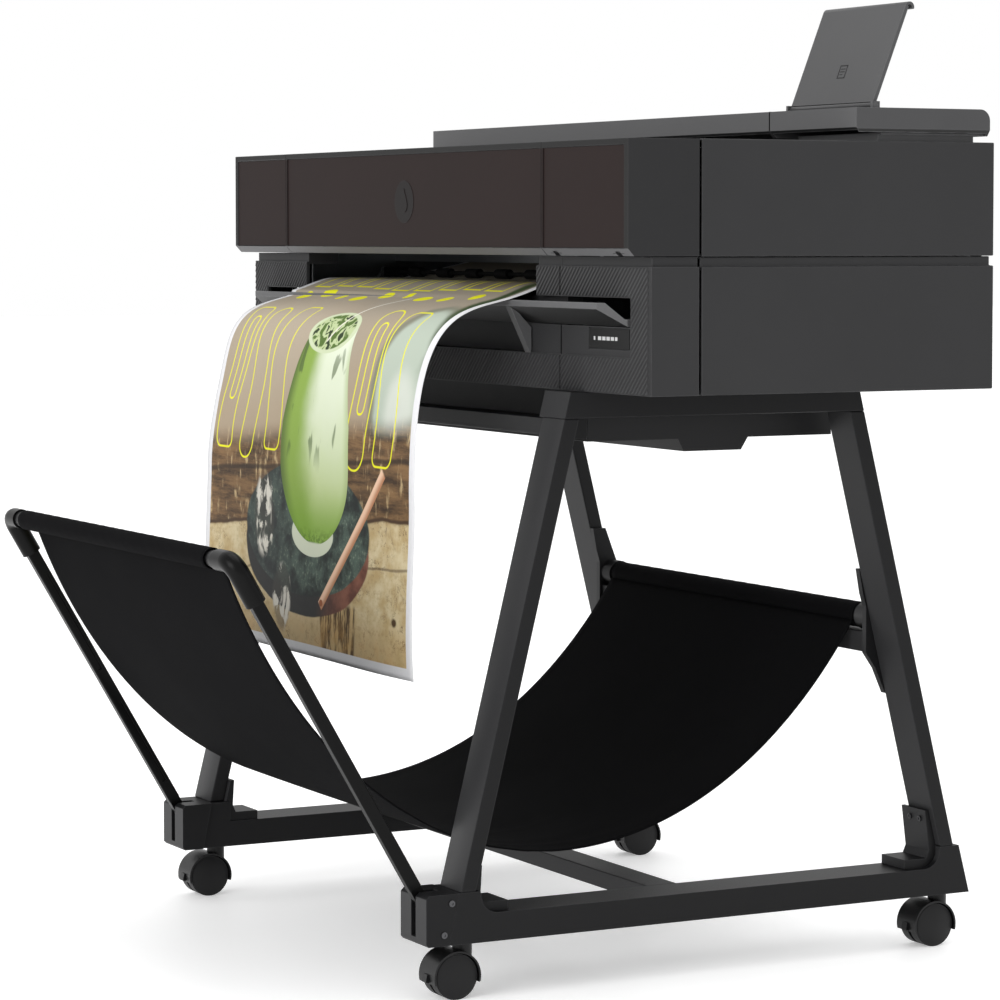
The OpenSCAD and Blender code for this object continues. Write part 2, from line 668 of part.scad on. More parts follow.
// The sheet tray leans back in use and folds down flat behind its slot.
module sheet_tray() color("#4d4d4f") placed() translate([0, tray_pin[0], tray_pin[1]]) {
  x0 = slab_x1 + 6.5;
  x1 = body_x - 7;
  lip_r = 6;
  rotate([-tray_lean, 0, 0]) {
    slab([x0, -tray_t / 2, 3], [x1, tray_t / 2, tray_len - 9]);
    translate([0, lip_r - tray_t / 2, tray_len - 9]) intersection() {
      difference() {
        rod_x(x0, x1, 0, 0, lip_r);
        rod_x(x0 - 1, x1 + 1, 0, 0, lip_r - 3);
      }
      slab([x0, -lip_r - 1, 0], [x1, lip_r + 1, lip_r + 1]);
    }
    rod_x(x0, x1, 0, 0, 2.9);
  }
  rod_x(x0 - 5, x1 + 5, 0, 0, pin_r);
}

// The touch panel and its frame, flush in the deck.
module control_panel() color("#202022") placed() difference() {
  slab([378.5, 118.5, 937], [501.5, 191.5, body_z1]);
  slab([384, 124, body_z1 - 1.2], [484, 186, body_z1 + 1]);
  translate([493, 155, 930]) cylinder(h = 20, r = 5.05);
}

module power_button() color("#8a8a8c") placed() translate([493, 155, 0]) {
  translate([0, 0, 938]) cylinder(h = body_z1 - 938 + 0.6, r = 5);
}

// --- works ---------------------------------------------------------------------------------

// Steel plates: a pair at the ends for the carriage rail, a pair beside the paper for the
// rollers and the roll.
module chassis_plates() color(metal) placed() {
  both_sides() slab([497, 100, body_z0 + wall + 0.2], [500, 460, 935]);
  for (x = inner_plate_x) difference() {
    along_x(x, x + 3) polygon([[62, body_z0 + wall + 0.2], [460, body_z0 + wall + 0.2], [460, 920],
      [330, 920], [300, 784], [62, 784]]);
    rod_x(x - 1, x + 4, feed_y, paper_z - 0.3 - feed_r, 6 + run);
    rod_x(x - 1, x + 4, roll_y, roll_z, 10 + run);
    slab([x - 1, roll_y - 10 - run, roll_z], [x + 4, roll_y + 10 + run, 930]);
  }
}

// The ground shaft that the carriage rides on, with the folded beam behind it.
module carriage_rail() color(metal) placed() {
  rod_x(-497, 497, rail_y, rail_z, rail_r);
  difference() {
    slab([-497, 222, 806], [497, 225, 905]);
    for (s = [-1, 1]) rod_y(221, 226, s * pulley_x, belt_z, 3 + run);
  }
  slab([-497, 225, 902], [497, 250, 905]);
}

// The print carriage with its head over the platen, parked at the service end.
module carriage() color("#303033") placed() translate([carriage_x, 0, 0]) difference() {
  union() {
    slab([-58, 76, 803], [58, 204, 862]);
    slab([-46, 80, 862], [46, 160, 896]);
    slab([-40, 84, paper_z + 3], [40, 138, 803]);
    slab([-12, 204, 866], [12, 208.2, 874]);
    slab([-12, 190, 860], [12, 206, 868]);
  }
  rod_x(-60, 60, rail_y, rail_z, rail_r + run);
}

// The toothed loop that pulls the carriage, round its two pulleys.
module drive_belt() color("#151515") placed() translate([0, belt_y, belt_z]) rotate([-90, 0, 0])
  linear_extrude(6) difference() {
    union() {
      square([2 * pulley_x, 2 * (pulley_r + 1.8)], center = true);
      for (s = [-1, 1]) translate([s * pulley_x, 0]) circle(r = pulley_r + 1.8);
    }
    square([2 * pulley_x, 2 * (pulley_r + 0.3)], center = true);
    for (s = [-1, 1]) translate([s * pulley_x, 0]) circle(r = pulley_r + 0.3);
  }

module pulley(x) {
  rod_y(belt_y - 0.5, belt_y + 6.5, x, belt_z, pulley_r);
  rod_y(belt_y - 2, belt_y - 0.5, x, belt_z, pulley_r + 2.4);
  rod_y(belt_y + 6.5, 225, x, belt_z, 3);
}
module drive_pulley() color(metal) placed() pulley(pulley_x);
module idler_pulley() color(metal) placed() pulley(-pulley_x);

// The carriage motor behind the beam and the feed motor beside the left inner plate.
module drive_motors() color("#3a3a3d") placed() {
  rod_y(225.2, 262, pulley_x, belt_z, 18);
  rod_x(-420, -378.2, 240, 740, 20);
}

// The grit-coated feed roller, with its shaft and the gear on its left end.
module feed_roller() color("#6c6e70") placed() {
  z = paper_z - 0.3 - feed_r;
  rod_x(paper_x0 - 8, paper_x1 + 8, feed_y, z, feed_r);
  rod_x(-400, 290, feed_y, z, 6);
  translate([-392, feed_y, z]) rotate([0, 90, 0]) linear_extrude(8) difference() {
    circle(r = 27);
    for (i = [0 : 35]) rotate(i * 10) translate([27.6, 0]) circle(r = 1.6, $fn = 8);
  }
}

// Small pressure rollers in a row above the feed roller, on one shaft.
module pinch_rollers() color("#222224") placed() {
  z = paper_z + paper_t + 0.3 + pinch_r;
  for (i = [0 : 7]) rod_x(-330 + 80 * i, -298 + 80 * i, feed_y, z, pinch_r);
  rod_x(-369, 273, feed_y, z, 2.5);
}

// The ribbed platen under the print head, with the arms that hold the pinch rollers' shaft.
module platen() color("#232325") placed() {
  difference() {
    slab([-374.5, lower_y + 31, 741], [278.5, 147, paper_z - 0.3]);
    slab([-371, lower_y + 34, 740], [275, 144, 770]);
    for (i = [0 : 9]) slab([-345 + 62 * i, 86, 778], [-303 + 62 * i, 136, paper_z]);
  }
  for (x = [-368, 268]) difference() {
    slab([x - 2, 140, paper_z - 4], [x + 6, 172, 799]);
    rod_x(x - 3, x + 7, feed_y, paper_z + paper_t + 0.3 + pinch_r, 2.5 + run);
    rod_x(x - 3, x + 7, feed_y, paper_z - 0.3 - feed_r, feed_r + 2);
  }
}

// The spindle with its two hub flanges, and the roll of paper between them.
module roll_spindle() color("#2a2a2d") placed() {
  rod_x(-386, 290, roll_y, roll_z, 10);
  rod_x(paper_x0 - 8, paper_x0 - 0.4, roll_y, roll_z, roll_r + 3);
  rod_x(paper_x0 - 0.4, paper_x0 + 30, roll_y, roll_z, 24.9);
  rod_x(paper_x1 + 0.4, paper_x1 + 8, roll_y, roll_z, roll_r + 3);
  rod_x(paper_x1 - 30, paper_x1 + 0.4, roll_y, roll_z, 24.9);
}

module media_roll() color("#f2f0ea") placed() difference() {
  rod_x(paper_x0, paper_x1, roll_y, roll_z, roll_r);
  rod_x(paper_x0 - 1, paper_x1 + 1, roll_y, roll_z, 25.4);
}

// The paper leaves the roll on a tangent, bends level over the feed roller and the platen, and
// falls over the ledge in one curve to its cut end.
feed_run = norm([roll_y - feed_y, roll_z - paper_z]);
feed_angle = atan2(roll_z - paper_z, roll_y - feed_y) - asin((roll_r + 0.6) / feed_run);
feed_len = feed_run * cos(asin((roll_r + 0.6) / feed_run));
lead_out = [[62, paper_z], [45, paper_z], [30, 777.3], [4, 770.3]];
fall = [[4, 770.3], [-60, 753], [-125, 765], [-121, 545]];
tail = [[-121, 545], [-119, 490], [-127, 420], [-125, 340]];
paper_steps = 14;
paper_path = concat([[feed_y + feed_len * cos(feed_angle), paper_z + feed_len * sin(feed_angle)],
  [feed_y + 14, paper_z + 14 * tan(feed_angle)], [feed_y, paper_z]],
  [for (i = [0 : 4]) bez(lead_out, i / 4)], [for (i = [1 : paper_steps]) bez(fall, i / paper_steps)],
  [for (i = [1 : 4]) bez(tail, i / 4)]);
module printed_sheet() color("#e9e7e2") placed() along_x(paper_x0, paper_x1) ribbon(paper_path, -paper_t);

// Four cartridges side by side behind the ink door.
module ink_cartridges() placed() for (i = [0 : 3]) color(["#2b2b2b", "#2f6f8f", "#8f2f5f", "#a08a20"][i])
  difference() {
    slab([340 + 38 * i, 20, 832.2], [374 + 38 * i, 70, 925]);
    slab([349 + 38 * i, 19, 895], [365 + 38 * i, 24, 910]);
  }

module power_supply() color(metal) placed() difference() {
  slab([120, 310, 610.2], [270, 392, 650]);
  for (i = [0 : 9]) slab([130 + 13 * i, 318, 648], [136 + 13 * i, 384, 651]);
}

// The controller board on four posts, with its larger parts.
module main_board() color("#2d5a3c") placed() {
  slab([-120, 96, 616], [90, 190, 617.8]);
  for (x = [-114, 84], y = [102, 184]) translate([x, y, 610]) cylinder(h = 6.5, r = 3);
  for (p = [[-70, 130, 32, 32, 3], [0, 120, 24, 24, 3], [40, 160, 40, 12, 9], [-110, 110, 12, 60, 10]])
    slab([p[0], p[1], 617.5], [p[0] + p[2], p[1] + p[3], 617.8 + p[4]]);
}

// The three-pin mains inlet in the rear cover.
module power_inlet() color("#18181a") placed() {
  difference() {
    union() {
      slab([416.3, body_d - 22, 690.3], [447.7, body_d + 0.5, 715.7]);
      slab([413, body_d, 687], [451, body_d + 2, 719]);
    }
    slab([420, body_d - 18, 694], [444, body_d + 3, 712]);
  }
  for (p = [[426, 698], [438, 698], [432, 701]])
    slab([p[0] - 1, body_d - 19, p[1] - 2], [p[0] + 1, body_d - 4, p[1] + 2]);
}

foot_left();
foot_right();
front_legs();
rear_legs();
top_beams();
leg_brackets();
lower_crossbar();
upper_crossbar();
rear_crossbar();
basket_knuckles();
stand_screws();
rear_bar_brackets();
sling_rear_bar();
sling();
basket_bar();
basket_elbows();
basket_arms();
caster_front_left();
caster_front_right();
caster_rear_left();
caster_rear_right();
wheels_front_left();
wheels_front_right();
wheels_rear_left();
wheels_rear_right();
base_pan();
lower_side_covers();
upper_side_covers();
rear_cover();
front_blocks();
output_chute();
output_guide();
label_plate();
left_end_cap();
front_door();
ink_door();
emblem();
top_deck();
roll_cover();
feeder_housing();
sheet_tray();
control_panel();
power_button();
chassis_plates();
carriage_rail();
carriage();
drive_belt();
drive_pulley();
idler_pulley();
drive_motors();
feed_roller();
pinch_rollers();
platen();
roll_spindle();
media_roll();
printed_sheet();
ink_cartridges();
power_supply();
main_board();
power_inlet();
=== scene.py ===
import math

import bmesh
import bpy
import numpy as np
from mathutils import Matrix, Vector


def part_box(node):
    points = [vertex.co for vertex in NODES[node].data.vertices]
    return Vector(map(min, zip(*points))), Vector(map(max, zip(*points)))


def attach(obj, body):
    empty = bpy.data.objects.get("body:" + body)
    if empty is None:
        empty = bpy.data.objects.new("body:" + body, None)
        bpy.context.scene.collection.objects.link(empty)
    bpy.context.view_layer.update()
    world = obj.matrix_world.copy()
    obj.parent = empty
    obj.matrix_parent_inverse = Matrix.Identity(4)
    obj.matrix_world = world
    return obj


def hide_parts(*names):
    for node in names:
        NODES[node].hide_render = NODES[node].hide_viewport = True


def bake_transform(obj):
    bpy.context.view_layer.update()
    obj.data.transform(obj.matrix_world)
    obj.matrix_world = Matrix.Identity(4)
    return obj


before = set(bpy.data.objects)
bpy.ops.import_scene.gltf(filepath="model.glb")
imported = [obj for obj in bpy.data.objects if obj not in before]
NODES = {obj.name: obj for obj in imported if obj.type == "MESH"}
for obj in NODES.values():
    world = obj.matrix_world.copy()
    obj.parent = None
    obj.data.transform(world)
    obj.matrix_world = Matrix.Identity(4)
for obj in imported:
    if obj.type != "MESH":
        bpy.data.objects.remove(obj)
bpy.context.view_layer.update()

DOOR_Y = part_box("front_door")[0].y      # the door's face; lengths in mm below are measured from it
MM = 0.001


def pt(x, y, z):
    """A point given in mm from the middle, the door's face and the floor, in the row frame."""
    return Vector((x * MM, y * MM + DOOR_Y, z * MM))


# ---------------------------------------------------------------------------------------------
# camera
# ---------------------------------------------------------------------------------------------
SENSOR = 36.0
LENS = 127.23
CAM_PLACE = (3.7983, -1.9515, 0.8424)
LOOK_DOWN = 3.01307         # degrees below level
LOOK_ROUND = 62.35154       # degrees turned from straight at the front
cam_data = bpy.data.cameras.new("camera")
cam_data.sensor_width = SENSOR
cam_data.lens = LENS
cam_data.shift_y = -0.08
cam_data.clip_start, cam_data.clip_end = 0.1, 60.0
cam = bpy.data.objects.new("camera", cam_data)
cam.location = CAM_PLACE
cam.rotation_euler = (math.radians(90 - LOOK_DOWN), 0.0, math.radians(LOOK_ROUND))
bpy.context.scene.collection.objects.link(cam)
bpy.context.scene.camera = cam


# ---------------------------------------------------------------------------------------------
# material helpers
# ---------------------------------------------------------------------------------------------
def lin(rgb):
    """An sRGB colour given from 0 to 255, as linear RGBA."""
    out = []
    for c in rgb:
        c /= 255.0
        out.append(c / 12.92 if c <= 0.04045 else ((c + 0.055) / 1.055) ** 2.4)
    return (*out, 1.0)


class Ex:
    """A number in a material's node tree, so that a pattern can be written as a sum."""

    def __init__(self, tree, socket):
        self.t, self.s = tree, socket

    def op(self, name, *others):
        n = self.t.nodes.new("ShaderNodeMath")
        n.operation = name
        for i, v in enumerate((self, *others)):
            if isinstance(v, Ex):
                self.t.links.new(v.s, n.inputs[i])
            else:
                n.inputs[i].default_value = v
        return Ex(self.t, n.outputs[0])

    def __add__(self, o):
        return self.op("ADD", o)

    def __sub__(self, o):
        return self.op("SUBTRACT", o)

    def __mul__(self, o):
        return self.op("MULTIPLY", o)

    def __truediv__(self, o):
        return self.op("DIVIDE", o)

    def abs(self):
        return self.op("ABSOLUTE")

    def sin(self):
        return self.op("SINE")

    def max(self, o):
        return self.op("MAXIMUM", o)

    def min(self, o):
        return self.op("MINIMUM", o)

    def sqrt(self):
        return self.op("SQRT")

    def inv(self):
        return self * -1.0 + 1.0

    def step(self, low, high):
        """0 below low, 1 above high, smooth between."""
        n = self.t.nodes.new("ShaderNodeMapRange")
        n.interpolation_type = "SMOOTHSTEP"
        self.t.links.new(self.s, n.inputs["Value"])
        n.inputs["From Min"].default_value = low
        n.inputs["From Max"].default_value = high
        return Ex(self.t, n.outputs["Result"])


class Paint:
    """A new material with its principled shader, and the few nodes the patterns need."""

    def __init__(self, name, rough, metallic=0.0, specular=0.5):
        self.m = bpy.data.materials.new(name)
        self.m.use_nodes = True
        self.t = self.m.node_tree
        self.b = self.t.nodes["Principled BSDF"]
        self.b.inputs["Roughness"].default_value = rough
        self.b.inputs["Metallic"].default_value = metallic
        self.b.inputs["Specular IOR Level"].default_value = specular

    def coords(self, uv=False, scale=(1, 1, 1)):
        c = self.t.nodes.new("ShaderNodeTexCoord")
        mp = self.t.nodes.new("ShaderNodeMapping")
        self.t.links.new(c.outputs["UV" if uv else "Object"], mp.inputs["Vector"])
        mp.inputs["Scale"].default_value = scale
        return mp.outputs["Vector"]

    def xyz(self, vector):
        n = self.t.nodes.new("ShaderNodeSeparateXYZ")
        self.t.links.new(vector, n.inputs[0])
        return [Ex(self.t, s) for s in n.outputs]

    def noise(self, vector, scale, detail=3.0, rough=0.5, warp=0.0):
        n = self.t.nodes.new("ShaderNodeTexNoise")
        self.t.links.new(vector, n.inputs["Vector"])
        n.inputs["Scale"].default_value = scale
        n.inputs["Detail"].default_value = detail
        n.inputs["Roughness"].default_value = rough
        n.inputs["Distortion"].default_value = warp
        return Ex(self.t, n.outputs["Fac"])

    def mix(self, fac, a, b):
        n = self.t.nodes.new("ShaderNodeMix")
        n.data_type = "RGBA"
        self.t.links.new(fac.s, n.inputs[0])
        for socket, v in ((n.inputs[6], a), (n.inputs[7], b)):
            if isinstance(v, tuple):
                socket.default_value = v
            else:
                self.t.links.new(v, socket)
        return n.outputs[2]

    def edges(self, radius=0.0016):
        """1 along outer and inner edges: where a rounded normal leaves the true one."""
        soft = self.t.nodes.new("ShaderNodeBevel")
        soft.samples = 4
        soft.inputs["Radius"].default_value = radius
        true = self.t.nodes.new("ShaderNodeNewGeometry")
        dot = self.t.nodes.new("ShaderNodeVectorMath")
        dot.operation = "DOT_PRODUCT"
        self.t.links.new(soft.outputs["Normal"], dot.inputs[0])
        self.t.links.new(true.outputs["Normal"], dot.inputs[1])
        return Ex(self.t, dot.outputs["Value"]).inv().step(0.01, 0.10)

    def facing(self):
        """The side of the object that a face is on: its own normal's X, Y and Z."""
        c = self.t.nodes.new("ShaderNodeTexCoord")
        return self.xyz(c.outputs["Normal"])

    def colour(self, socket):
        self.t.links.new(socket, self.b.inputs["Base Color"])

    def roughness(self, ex):
        self.t.links.new(ex.s, self.b.inputs["Roughness"])

    def bump(self, ex, distance):
        n = self.t.nodes.new("ShaderNodeBump")
        n.inputs["Distance"].default_value = distance
        n.inputs["Strength"].default_value = 1.0
        self.t.links.new(ex.s, n.inputs["Height"])
        self.t.links.new(n.outputs["Normal"], self.b.inputs["Normal"])


def scaled(colour, factor, add=0.0):
    """A linear RGBA colour made darker or paler, and no paler than white."""
    return tuple(min(1.0, c * factor + add) for c in colour[:3]) + (1.0,)


def moulding(name, rgb, rough=0.5, grain=900.0, depth=0.00006, specular=0.4, lift=1.5, metallic=0.0,
             under=None, front=None):
    """Moulded plastic or painted metal: fine grain, uneven tone, paler edges that are partly rubbed wear and
    partly a painted highlight.
    Faces that look down or forward may be given another tone, a painted shade or painted light for how the
    lamps fall on those sides."""
    p = Paint(name, rough, metallic, specular)
    v = p.coords()
    cloud = p.noise(v, 7.0, 4.0, 0.6)
    fine = p.noise(v, grain, 2.0, 0.6)
    base = lin(rgb)
    tone = p.mix(cloud.step(0.3, 0.7), scaled(base, 0.95), scaled(base, 1.05))
    # painted light and shade: faces that look forward or down take their own tone, as if lit or shaded
    _, fy, fz = p.facing()
    if front:
        tone = p.mix((fy * -1.0).step(0.7, 0.9), tone, lin(front))
    if under:
        tone = p.mix((fz * -1.0).step(0.25, 0.6), tone, lin(under))
    # paler edges: partly rubbed wear, partly a painted highlight where light catches the rounded edge
    wear_and_edge_highlight = p.edges() * (p.noise(v, 60.0, 3.0).step(0.3, 0.6) * 0.7 + 0.3)
    p.colour(p.mix(wear_and_edge_highlight, tone, scaled(base, lift, 0.002)))
    p.roughness((cloud * 0.05 + fine * 0.08) + (rough - 0.065))
    p.bump(fine, depth)
    return p.m


def cloth(name, rgb, pitch=0.0011):
    """Plain woven cloth seen from the sheet's own lengths: two crossed rows of threads."""
    p = Paint(name, 0.85, 0.0, 0.02)
    v = p.coords(uv=True)
    x, y, _ = p.xyz(v)
    wx = (x * (math.pi / pitch)).sin()
    wy = (y * (math.pi / pitch)).sin()
    weave = (wx * wy) * 0.5 + 0.5
    slub = p.noise(v, 300.0, 3.0)
    cloud = p.noise(v, 9.0, 4.0)
    base = lin(rgb)
    p.colour(p.mix(weave * 0.5 + slub * 0.3 + cloud * 0.3, scaled(base, 0.72), scaled(base, 1.3)))
    p.roughness(cloud * 0.15 + 0.76)
    p.bump(weave + slub * 0.6, 0.0002)
    return p.m


def paper(name, rgb):
    """Uncoated paper or matt paint, with short fibres."""
    p = Paint(name, 0.55, 0.0, 0.35)
    v = p.coords()
    fibre = p.noise(v, 700.0, 3.0)
    base = lin(rgb)
    p.colour(p.mix(p.noise(v, 20.0, 3.0), scaled(base, 0.95), base))
    p.roughness(fibre * 0.12 + 0.45)
    p.bump(fibre, 0.00002)
    return p.m


def brushed(name, rgb, rough=0.35):
    """Bare metal with fine lines along X."""
    p = Paint(name, rough, 1.0)
    v = p.coords(scale=(1.0, 40.0, 40.0))
    lines = p.noise(v, 30.0, 4.0)
    base = lin(rgb)
    p.colour(p.mix(lines, scaled(base, 0.7), base))
    p.roughness(lines * 0.2 + (rough - 0.1))
    p.bump(lines, 0.00003)
    return p.m


class Picture:
    """The picture is painted part over part. u and v are mm from the sheet's left edge and its cut end."""

    def __init__(self, name):
        self.p = Paint(name, 0.6, 0.0, 0.18)
        self.uv = self.p.coords(uv=True)
        x, y, _ = self.p.xyz(self.uv)
        self.u, self.v = x * (1 / MM), y * (1 / MM)
        self.wob = self.p.noise(self.uv, 9.0, 3.0) - 0.5
        self.fine = self.p.noise(self.uv, 160.0, 4.0, 0.65)
        self.mid = self.p.noise(self.uv, 34.0, 5.0, 0.6)

    def oval(self, cu, cv, ru, rv, wave=0.0):
        """1 on the rim of an oval, less inside, more outside. A wave makes the rim uneven."""
        du, dv = (self.u - cu) / ru, (self.v - cv) / rv
        d = (du * du + dv * dv).sqrt()
        return d + self.wob * wave if wave else d

    def blob(self, place, low, high, wave=0.0):
        """A mask that is 1 inside an oval and 0 outside, and fades from low to high."""
        return self.oval(*place, wave).step(low, high).inv()

    def stretched(self, scale, size, detail, rough, warp=0.0):
        """Noise drawn out along the sheet's width or length."""
        return self.p.noise(self.p.coords(uv=True, scale=(*scale, 1.0)), size, detail, rough, warp)

    def mix(self, mask, a, b):
        """a where the mask is 0 and b where it is 1. Each is a node's output or an sRGB colour."""
        a, b = (lin(c) if isinstance(c, tuple) else c for c in (a, b))
        return self.p.mix(mask, a, b)

    def paint(self, mask, colour):
        self.col = self.mix(mask, self.col, colour)

    def wall(self):
        self.col = self.mix((self.v + self.wob * 220.0).step(250.0, 620.0), (158, 142, 120), (150, 143, 130))
        self.paint(self.blob((150.0, 400.0, 190.0, 150.0), 0.2, 1.1, 0.6) * 0.7, (168, 156, 138))

    def far_things(self):
        """A pale pot with its shadow line, a leaf and a shadow, all out of focus."""
        self.paint(self.blob((548.0, 330.0, 74.0, 124.0), 0.94, 1.06, 0.3) * 0.8, (112, 116, 100))
        self.paint(self.blob((552.0, 328.0, 68.0, 118.0), 0.86, 1.02, 0.3), (168, 178, 164))
        self.paint(self.blob((556.0, 300.0, 48.0, 60.0), 0.5, 1.05, 0.3) * 0.8, (198, 202, 192))
        leaf = ((self.u - 585.0) + (self.v - 470.0) * 0.12 + self.wob * 60.0).abs().step(4.0, 22.0).inv()
        self.paint(leaf * self.v.step(330.0, 380.0) * self.v.step(560.0, 610.0).inv(), (54, 70, 38))
        self.paint(self.blob((470.0, 560.0, 120.0, 40.0), 0.6, 1.1, 0.6) * 0.7, (104, 92, 76))

    def planks(self):
        """Dark planks with worn streaks, and pale cracked ones nearer to the cut end."""
        edge = self.v + self.u * -0.07 + self.wob * 16.0
        grain = self.stretched((0.16, 1.0), 60.0, 5.0, 0.7)
        streak = self.stretched((1.0, 0.22), 90.0, 4.0, 0.65)
        dark = self.mix(grain.step(0.32, 0.68), (52, 36, 20), (126, 96, 62))
        dark = self.mix(streak.step(0.52, 0.66) * self.mid.step(0.42, 0.6), dark, (190, 166, 124))
        dark = self.mix((edge - 205.0).abs().step(1.0, 5.0).inv() * 0.8, dark, (40, 28, 16))
        self.paint(edge.step(228.0, 262.0).inv(), dark)
        tan = self.mix(self.mid.step(0.3, 0.7), (176, 152, 106), (204, 190, 154))
        tan = self.mix((grain * 0.5 + self.fine * 0.5).step(0.50, 0.62) * 0.35, tan, (138, 112, 70))
        cracks = (self.p.noise(self.uv, 22.0, 6.0, 0.7, 1.2) - 0.5).abs().step(0.002, 0.012).inv()
        tan = self.mix(cracks * self.wob.abs().step(0.02, 0.1) * 0.8, tan, (84, 62, 36))
        self.paint(edge.step(132.0, 140.0).inv(), tan)
        far_gap = (edge - 138.0).abs().step(0.8, 3.6).inv()
        near_gap = (edge - 82.0).abs().step(0.6, 2.4).inv() * 0.6
        self.paint(far_gap.max(near_gap), (66, 46, 26))
        patch = (self.u + self.wob * 26.0 - 410.0).abs().step(46.0, 52.0).inv()
        patch = patch * (self.v + self.wob * 20.0).step(66.0, 74.0).inv()
        self.paint(patch, self.mix(streak.step(0.44, 0.6), (62, 42, 18), (186, 160, 112)))
        self.paint(self.v.step(18.0, 70.0).inv() * self.mid.step(0.35, 0.65) * 0.6, (176, 134, 70))
        self.paint(self.blob((566.0, 62.0, 9.0, 7.0), 0.6, 1.1, 1.6), (74, 54, 32))

    def board(self):
        """A round board: its reddish side first, then its speckled dark top."""
        red = self.mix(self.mid.step(0.35, 0.65), (88, 48, 36), (126, 80, 62))
        side = self.mix((self.u + self.wob * 60).step(340.0, 430.0), (38, 38, 37), red)
        self.paint(self.blob((312.0, 126.0, 178.0, 80.0), 0.985, 1.01, 0.1), side)
        speck = self.mix(self.mid.step(0.34, 0.66), (28, 34, 32), (74, 90, 80))
        speck = self.mix(self.fine.step(0.52, 0.68) * self.mid.step(0.4, 0.6) * 0.7, speck, (128, 140, 122))
        speck = self.mix((self.u + self.wob * 120.0).step(200.0, 330.0).inv() * 0.45, speck, (40, 44, 46))
        self.paint(self.blob((312.0, 150.0, 178.0, 80.0), 0.985, 1.01, 0.08), speck)

    def ice(self):
        """Clear lumps that show only as broken highlights."""
        glint = self.stretched((1.0, 0.6), 48.0, 4.0, 0.6, 0.8)
        for place in ((188.0, 162.0, 34.0, 56.0), (246.0, 66.0, 28.0, 44.0)):
            lump = self.blob(place, 0.75, 1.0, 0.8)
            self.paint(lump * 0.55, (64, 62, 56))
            self.paint(lump * glint.step(0.5, 0.6), (206, 202, 190))

    def glass(self):
        """The glass stands on its pale foot and leans a little. Its outline is kept for the bands."""
        u, v, wob = self.u, self.v, self.wob
        bottom, top, middle = 134.0, 396.0, 240.0
        half = (v - middle) / 130.0
        width = ((half * half) * -0.06 + 1.0) * 99.0
        foot = ((v - bottom) / 96.0).max(0.0).min(1.0) * -1.0 + 1.0
        width = width * (foot * foot * -1.0 + 1.0).max(0.0).sqrt()
        width = width - (v - 276.0).max(0.0) * 0.23
        centre = (v - 140.0) * -0.05 + 336.0
        self.paint(self.blob((330.0, 146.0, 60.0, 28.0), 0.97, 1.0) * v.step(96.0, 104.0), (196, 202, 180))
        across = (u - centre) / width.max(1.0)
        body = across.abs().step(0.985, 1.0).inv()
        body = body * v.step(bottom, bottom + 3.0) * v.step(top, top + 6.0).inv()
        pale_side = self.mix((v + wob * 90).step(140.0, 330.0), (178, 196, 128), (206, 214, 190))
        drink = self.mix((across + wob * 0.7).step(-0.62, 0.12), (128, 156, 66), pale_side)
        drink = self.mix(across.step(-1.0, -0.68).inv() * 0.75, drink, (62, 80, 36))
        drink = self.mix(across.step(0.80, 1.0) * 0.6, drink, (150, 168, 106))
        leafy = self.stretched((1.5, 0.6), 30.0, 2.0, 0.5, 0.4)
        drink = self.mix(leafy.step(0.62, 0.68) * v.step(215.0, 260.0) * 0.7, drink, (64, 84, 40))
        drink = self.mix(v.step(142.0, 214.0).inv() * 0.85, drink, (112, 150, 40))
        dregs = v.step(bottom, 158.0).inv() * self.fine.step(0.44, 0.56) * 0.7
        drink = self.mix(dregs, drink, (66, 96, 26))
        drink = self.mix(v.step(342.0, top) * across.step(-0.4, 0.5) * 0.7, drink, (216, 222, 204))
        self.paint(body, drink)
        rim = self.oval(318.0, top, 66.0, 32.0)
        self.paint(rim.step(0.98, 1.02).inv(), (190, 200, 166))
        lumps = self.p.noise(self.uv, 58.0, 2.0, 0.5, 0.5)
        pool = self.mix(lumps.step(0.44, 0.5), (76, 102, 38), (176, 190, 142))
        pool = self.mix(lumps.step(0.58, 0.62), pool, (36, 52, 22))
        self.paint(rim.step(0.82, 0.88).inv(), pool)
        stirrer = ((u - 320.0) - (v - 388.0) * 0.62).abs().step(1.2, 2.6).inv() * v.step(378.0, 382.0)
        self.paint(stirrer * v.step(482.0, 486.0).inv(), (216, 212, 200))
        self.clear = body.inv() * rim.step(0.98, 1.02)

    def straw(self):
        """A paper straw on the board: its length and its offset run along and across it from its end."""
        du, dv = self.u - 358.0, self.v - 62.0
        along = du * 0.711 + dv * 0.703
        off = du * -0.703 + dv * 0.711
        straw = off.abs().step(6.2, 7.2).inv() * along.step(-1.0, 2.0) * along.step(236.0, 240.0).inv()
        tube = self.mix((off + self.wob * 6.0).step(-6.0, 4.0), (176, 122, 88), (226, 190, 160))
        tube = self.mix(self.blob((361.0, 66.0, 6.0, 5.0), 0.7, 1.0), tube, (148, 84, 50))
        self.paint(straw, tube)

    def band(self, cu, cv, half_w, half_h, radius, phase):
        """A closed outline with round corners, which sways a little along its length."""
        sway = (self.v * 0.030 + phase).sin() * 8.0
        du = ((self.u - cu + sway).abs() - (half_w - radius)).max(0.0)
        dv = ((self.v - cv).abs() - (half_h - radius)).max(0.0)
        return ((du * du + dv * dv).sqrt() - radius).abs().step(0.8, 1.7).inv()

